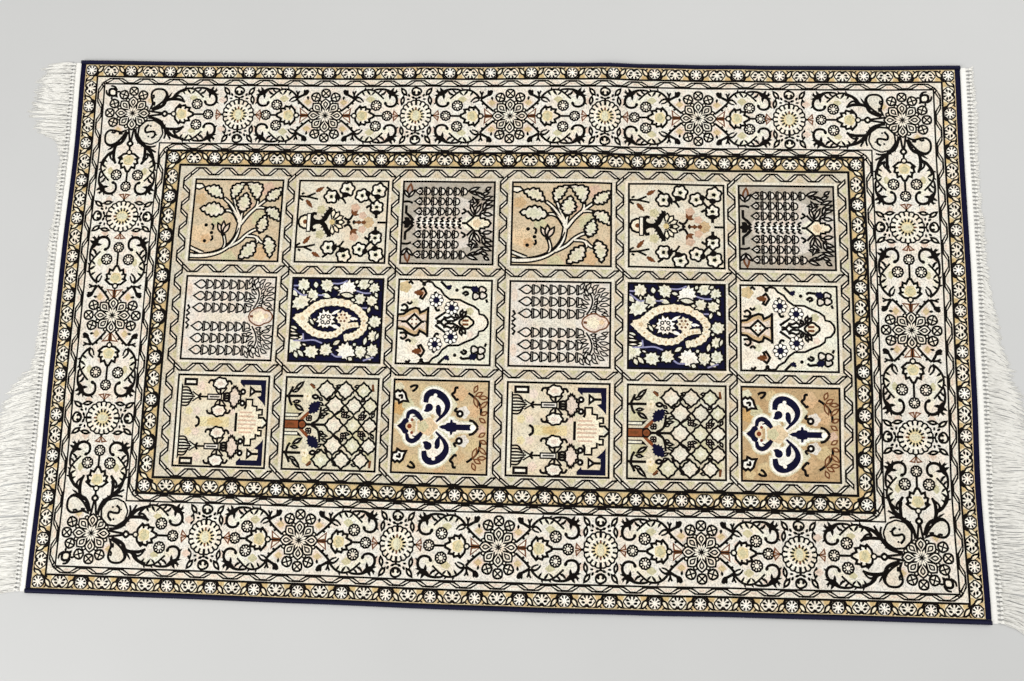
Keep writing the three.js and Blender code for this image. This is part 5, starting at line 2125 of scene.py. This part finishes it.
class SILK_OT_fringe(bpy.types.Operator):
    """Woven end strips, their knots and the loose warp threads."""

    bl_idname = "silk_rug.fringe"
    bl_label = "Fringe"

    def execute(self, context):
        sizes = context.scene.silk_sizes
        warp = bpy.data.materials["warp_yarn"]
        threads_tree = thread_tree()
        knots_tree = knot_tree()
        for name, sign, table, edge in (
                ("west", -1, WEST_FRINGE, WEST_WAVE), ("east", 1, EAST_FRINGE, EAST_WAVE)):
            rng = random.Random(11 + sign)
            rows = strand_rows(table, rng)
            finished(self.strip(name, sign, edge, warp))
            knots = []
            threads = []
            for y, reach, drift in rows:
                root = HALF_LENGTH + wave(edge, np.array([y / HALF_WIDTH]))[0] + STRIP_EDGE
                knot_out = root + KNOT_FROM_STRIP + rng.uniform(-0.5, 0.5)
                tail = max(6.0, reach - STRIP_EDGE - KNOT_FROM_STRIP)
                knots.append([in_frame(sign * knot_out, y, KNOT_LEVEL)])
                for _ in range(sizes.threads):
                    threads.append(self.thread(rng, sign, root, knot_out, y, tail, drift, sizes.thread_girth))
            piece = path_object(f"fringe_knots_{name}", knots)
            knots_tree.grow(piece, warp, Turns=2.4, Radius=0.9 * MM, Length=3.0 * MM, Yarn=0.72 * MM, Seed=3)
            finished(piece)
            piece = path_object(f"fringe_threads_{name}", *zip(*threads))
            threads_tree.grow(piece, warp, Sides=3)
            finished(piece)
            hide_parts(f"fringe_{name}")
        return {"FINISHED"}

    def thread(self, rng, sign, root, knot_out, y, tail, drift, girth):
        """One warp thread from the strip, through its knot, to its loose end, with its girths."""
        spread = rng.uniform(-1, 1)
        stray = rng.gauss(0, 1)
        length = tail * rng.uniform(0.72, 1.06)
        level = rng.uniform(0.4, 2.0)
        bow = rng.gauss(0, 1.0) * min(1.0, length / 40)
        sway = SWAY[sign] * min(1.0, length / 55) * math.sin(y / 16 + 1.4 * math.sin(y / 43))
        curl = CURL[sign] * min(1.0, length / 45)
        path = [(root - 1.2, y + rng.uniform(-2.3, 2.3), ROOT_LEVEL)]
        for out in (-1.4, KNOT_REACH):
            path.append((knot_out + out, y + rng.uniform(-1.1, 1.1), THREAD_LEVEL))
        for share in SHORT_TAIL_SHARES if length < SHORT_TAIL else TAIL_SHARES:
            side = OPENING * spread * min(1.0, (length * share / 3) ** 0.5) * (1 - 0.3 * share)
            side += STRAY * stray * share
            side += bow * math.sin(3.2 * share) + drift * share ** 1.5 + sway * share ** 2
            side += curl * share * math.sin(5 * share + y / 12)
            height = LEAST_LEVEL + (level - 0.1) * (1 - share) ** 1.2
            path.append((knot_out + KNOT_REACH + length * share, y + side + rng.gauss(0, 0.25), height))
        places = [in_frame(sign * px, py, max(pz, LEAST_LEVEL)) for px, py, pz in path]
        return places, [girth * MM] * (len(path) - 1) + [girth * MM * 0.55]

    def strip(self, name, sign, edge, warp):
        """The plain woven strip: ribs of warp across its length, closed all round."""
        half = HALF_WIDTH - STRIP_END_INSET
        count = RIB_PARTS * RIBS
        ys = np.linspace(-half, half, count + 1)
        start = HALF_LENGTH + GAP + wave(edge, ys / HALF_WIDTH)
        ribs = RIB_HEIGHT * np.abs(np.sin(np.arange(count + 1) * math.pi / RIB_PARTS))
        rows = len(STRIP_STEPS)
        top = []
        for k, out in enumerate(STRIP_STEPS):
            rim = 0.55 if k in (0, rows - 1) else 0.0
            height = STRIP_THICKNESS - RIB_HEIGHT + ribs * (1 if k % 2 else 0.6) - rim
            top.append(np.stack(in_frame(sign * (start + out), ys, height), -1))
        places = [tuple(p) for row in top for p in row]
        places += [(p[0], p[1], STRIP_UNDERSIDE * MM) for row in (top[0], top[-1]) for p in row]
        width = count + 1
        first = rows * width
        last = first - width
        faces = []
        for j in range(rows - 1):
            for i in range(count):
                a = j * width + i
                faces.append((a, a + 1, a + width + 1, a + width))
        for i in range(count):
            faces.append((first + i, first + i + 1, i + 1, i))
            faces.append((last + i, last + i + 1, first + width + i + 1, first + width + i))
            faces.append((first + width + i, first + width + i + 1, first + i + 1, first + i))
        for i in (0, count):
            end = [j * width + i for j in range(rows)] + [first + width + i, first + i]
            faces.append(end if i else end[::-1])
        if sign > 0:
            faces = [face[::-1] for face in faces]
        return make_mesh(f"woven_strip_{name}", places, faces, warp)


class SILK_OT_finishes(bpy.types.Operator):
    """The silk, navy yarn and warp yarn finishes."""

    bl_idname = "silk_rug.finishes"
    bl_label = "Finishes"

    def execute(self, context):
        pile_finish(context.scene.silk_sizes)
        navy_finish(context.scene.silk_colours)
        warp_finish(context.scene.silk_colours)
        return {"FINISHED"}


OPERATORS = (SILK_OT_stage, SILK_OT_finishes, SILK_OT_foundation, SILK_OT_borders, SILK_OT_panels,
             SILK_OT_cords, SILK_OT_fringe)


class SILK_PT_panel(bpy.types.Panel):
    """Lists the rug's steps in the sidebar."""

    bl_label = "Silk Rug"
    bl_idname = "SILK_PT_panel"
    bl_space_type = "VIEW_3D"
    bl_region_type = "UI"
    bl_category = "Silk Rug"

    def draw(self, context):
        for group in (context.scene.silk_sizes, context.scene.silk_colours, context.scene.silk_stage):
            for key in group.__annotations__:
                self.layout.prop(group, key)
        for operator in OPERATORS:
            self.layout.operator(operator.bl_idname)


GROUPS = (("silk_sizes", RugSizes), ("silk_colours", RugColours), ("silk_stage", RugStage))


def register():
    """Add the settings, steps and panel."""
    for name, group in GROUPS:
        bpy.utils.register_class(group)
        setattr(bpy.types.Scene, name, bpy.props.PointerProperty(type=group))
    for cls in (*OPERATORS, SILK_PT_panel):
        bpy.utils.register_class(cls)


def unregister():
    """Take the settings, steps and panel away again."""
    for cls in (SILK_PT_panel, *reversed(OPERATORS)):
        bpy.utils.unregister_class(cls)
    for name, group in reversed(GROUPS):
        delattr(bpy.types.Scene, name)
        bpy.utils.unregister_class(group)


def main():
    """Run every step in order."""
    register()
    for operator in OPERATORS:
        group, step_name = operator.bl_idname.split(".")
        getattr(getattr(bpy.ops, group), step_name)()


if __name__ == "__main__":
    main()
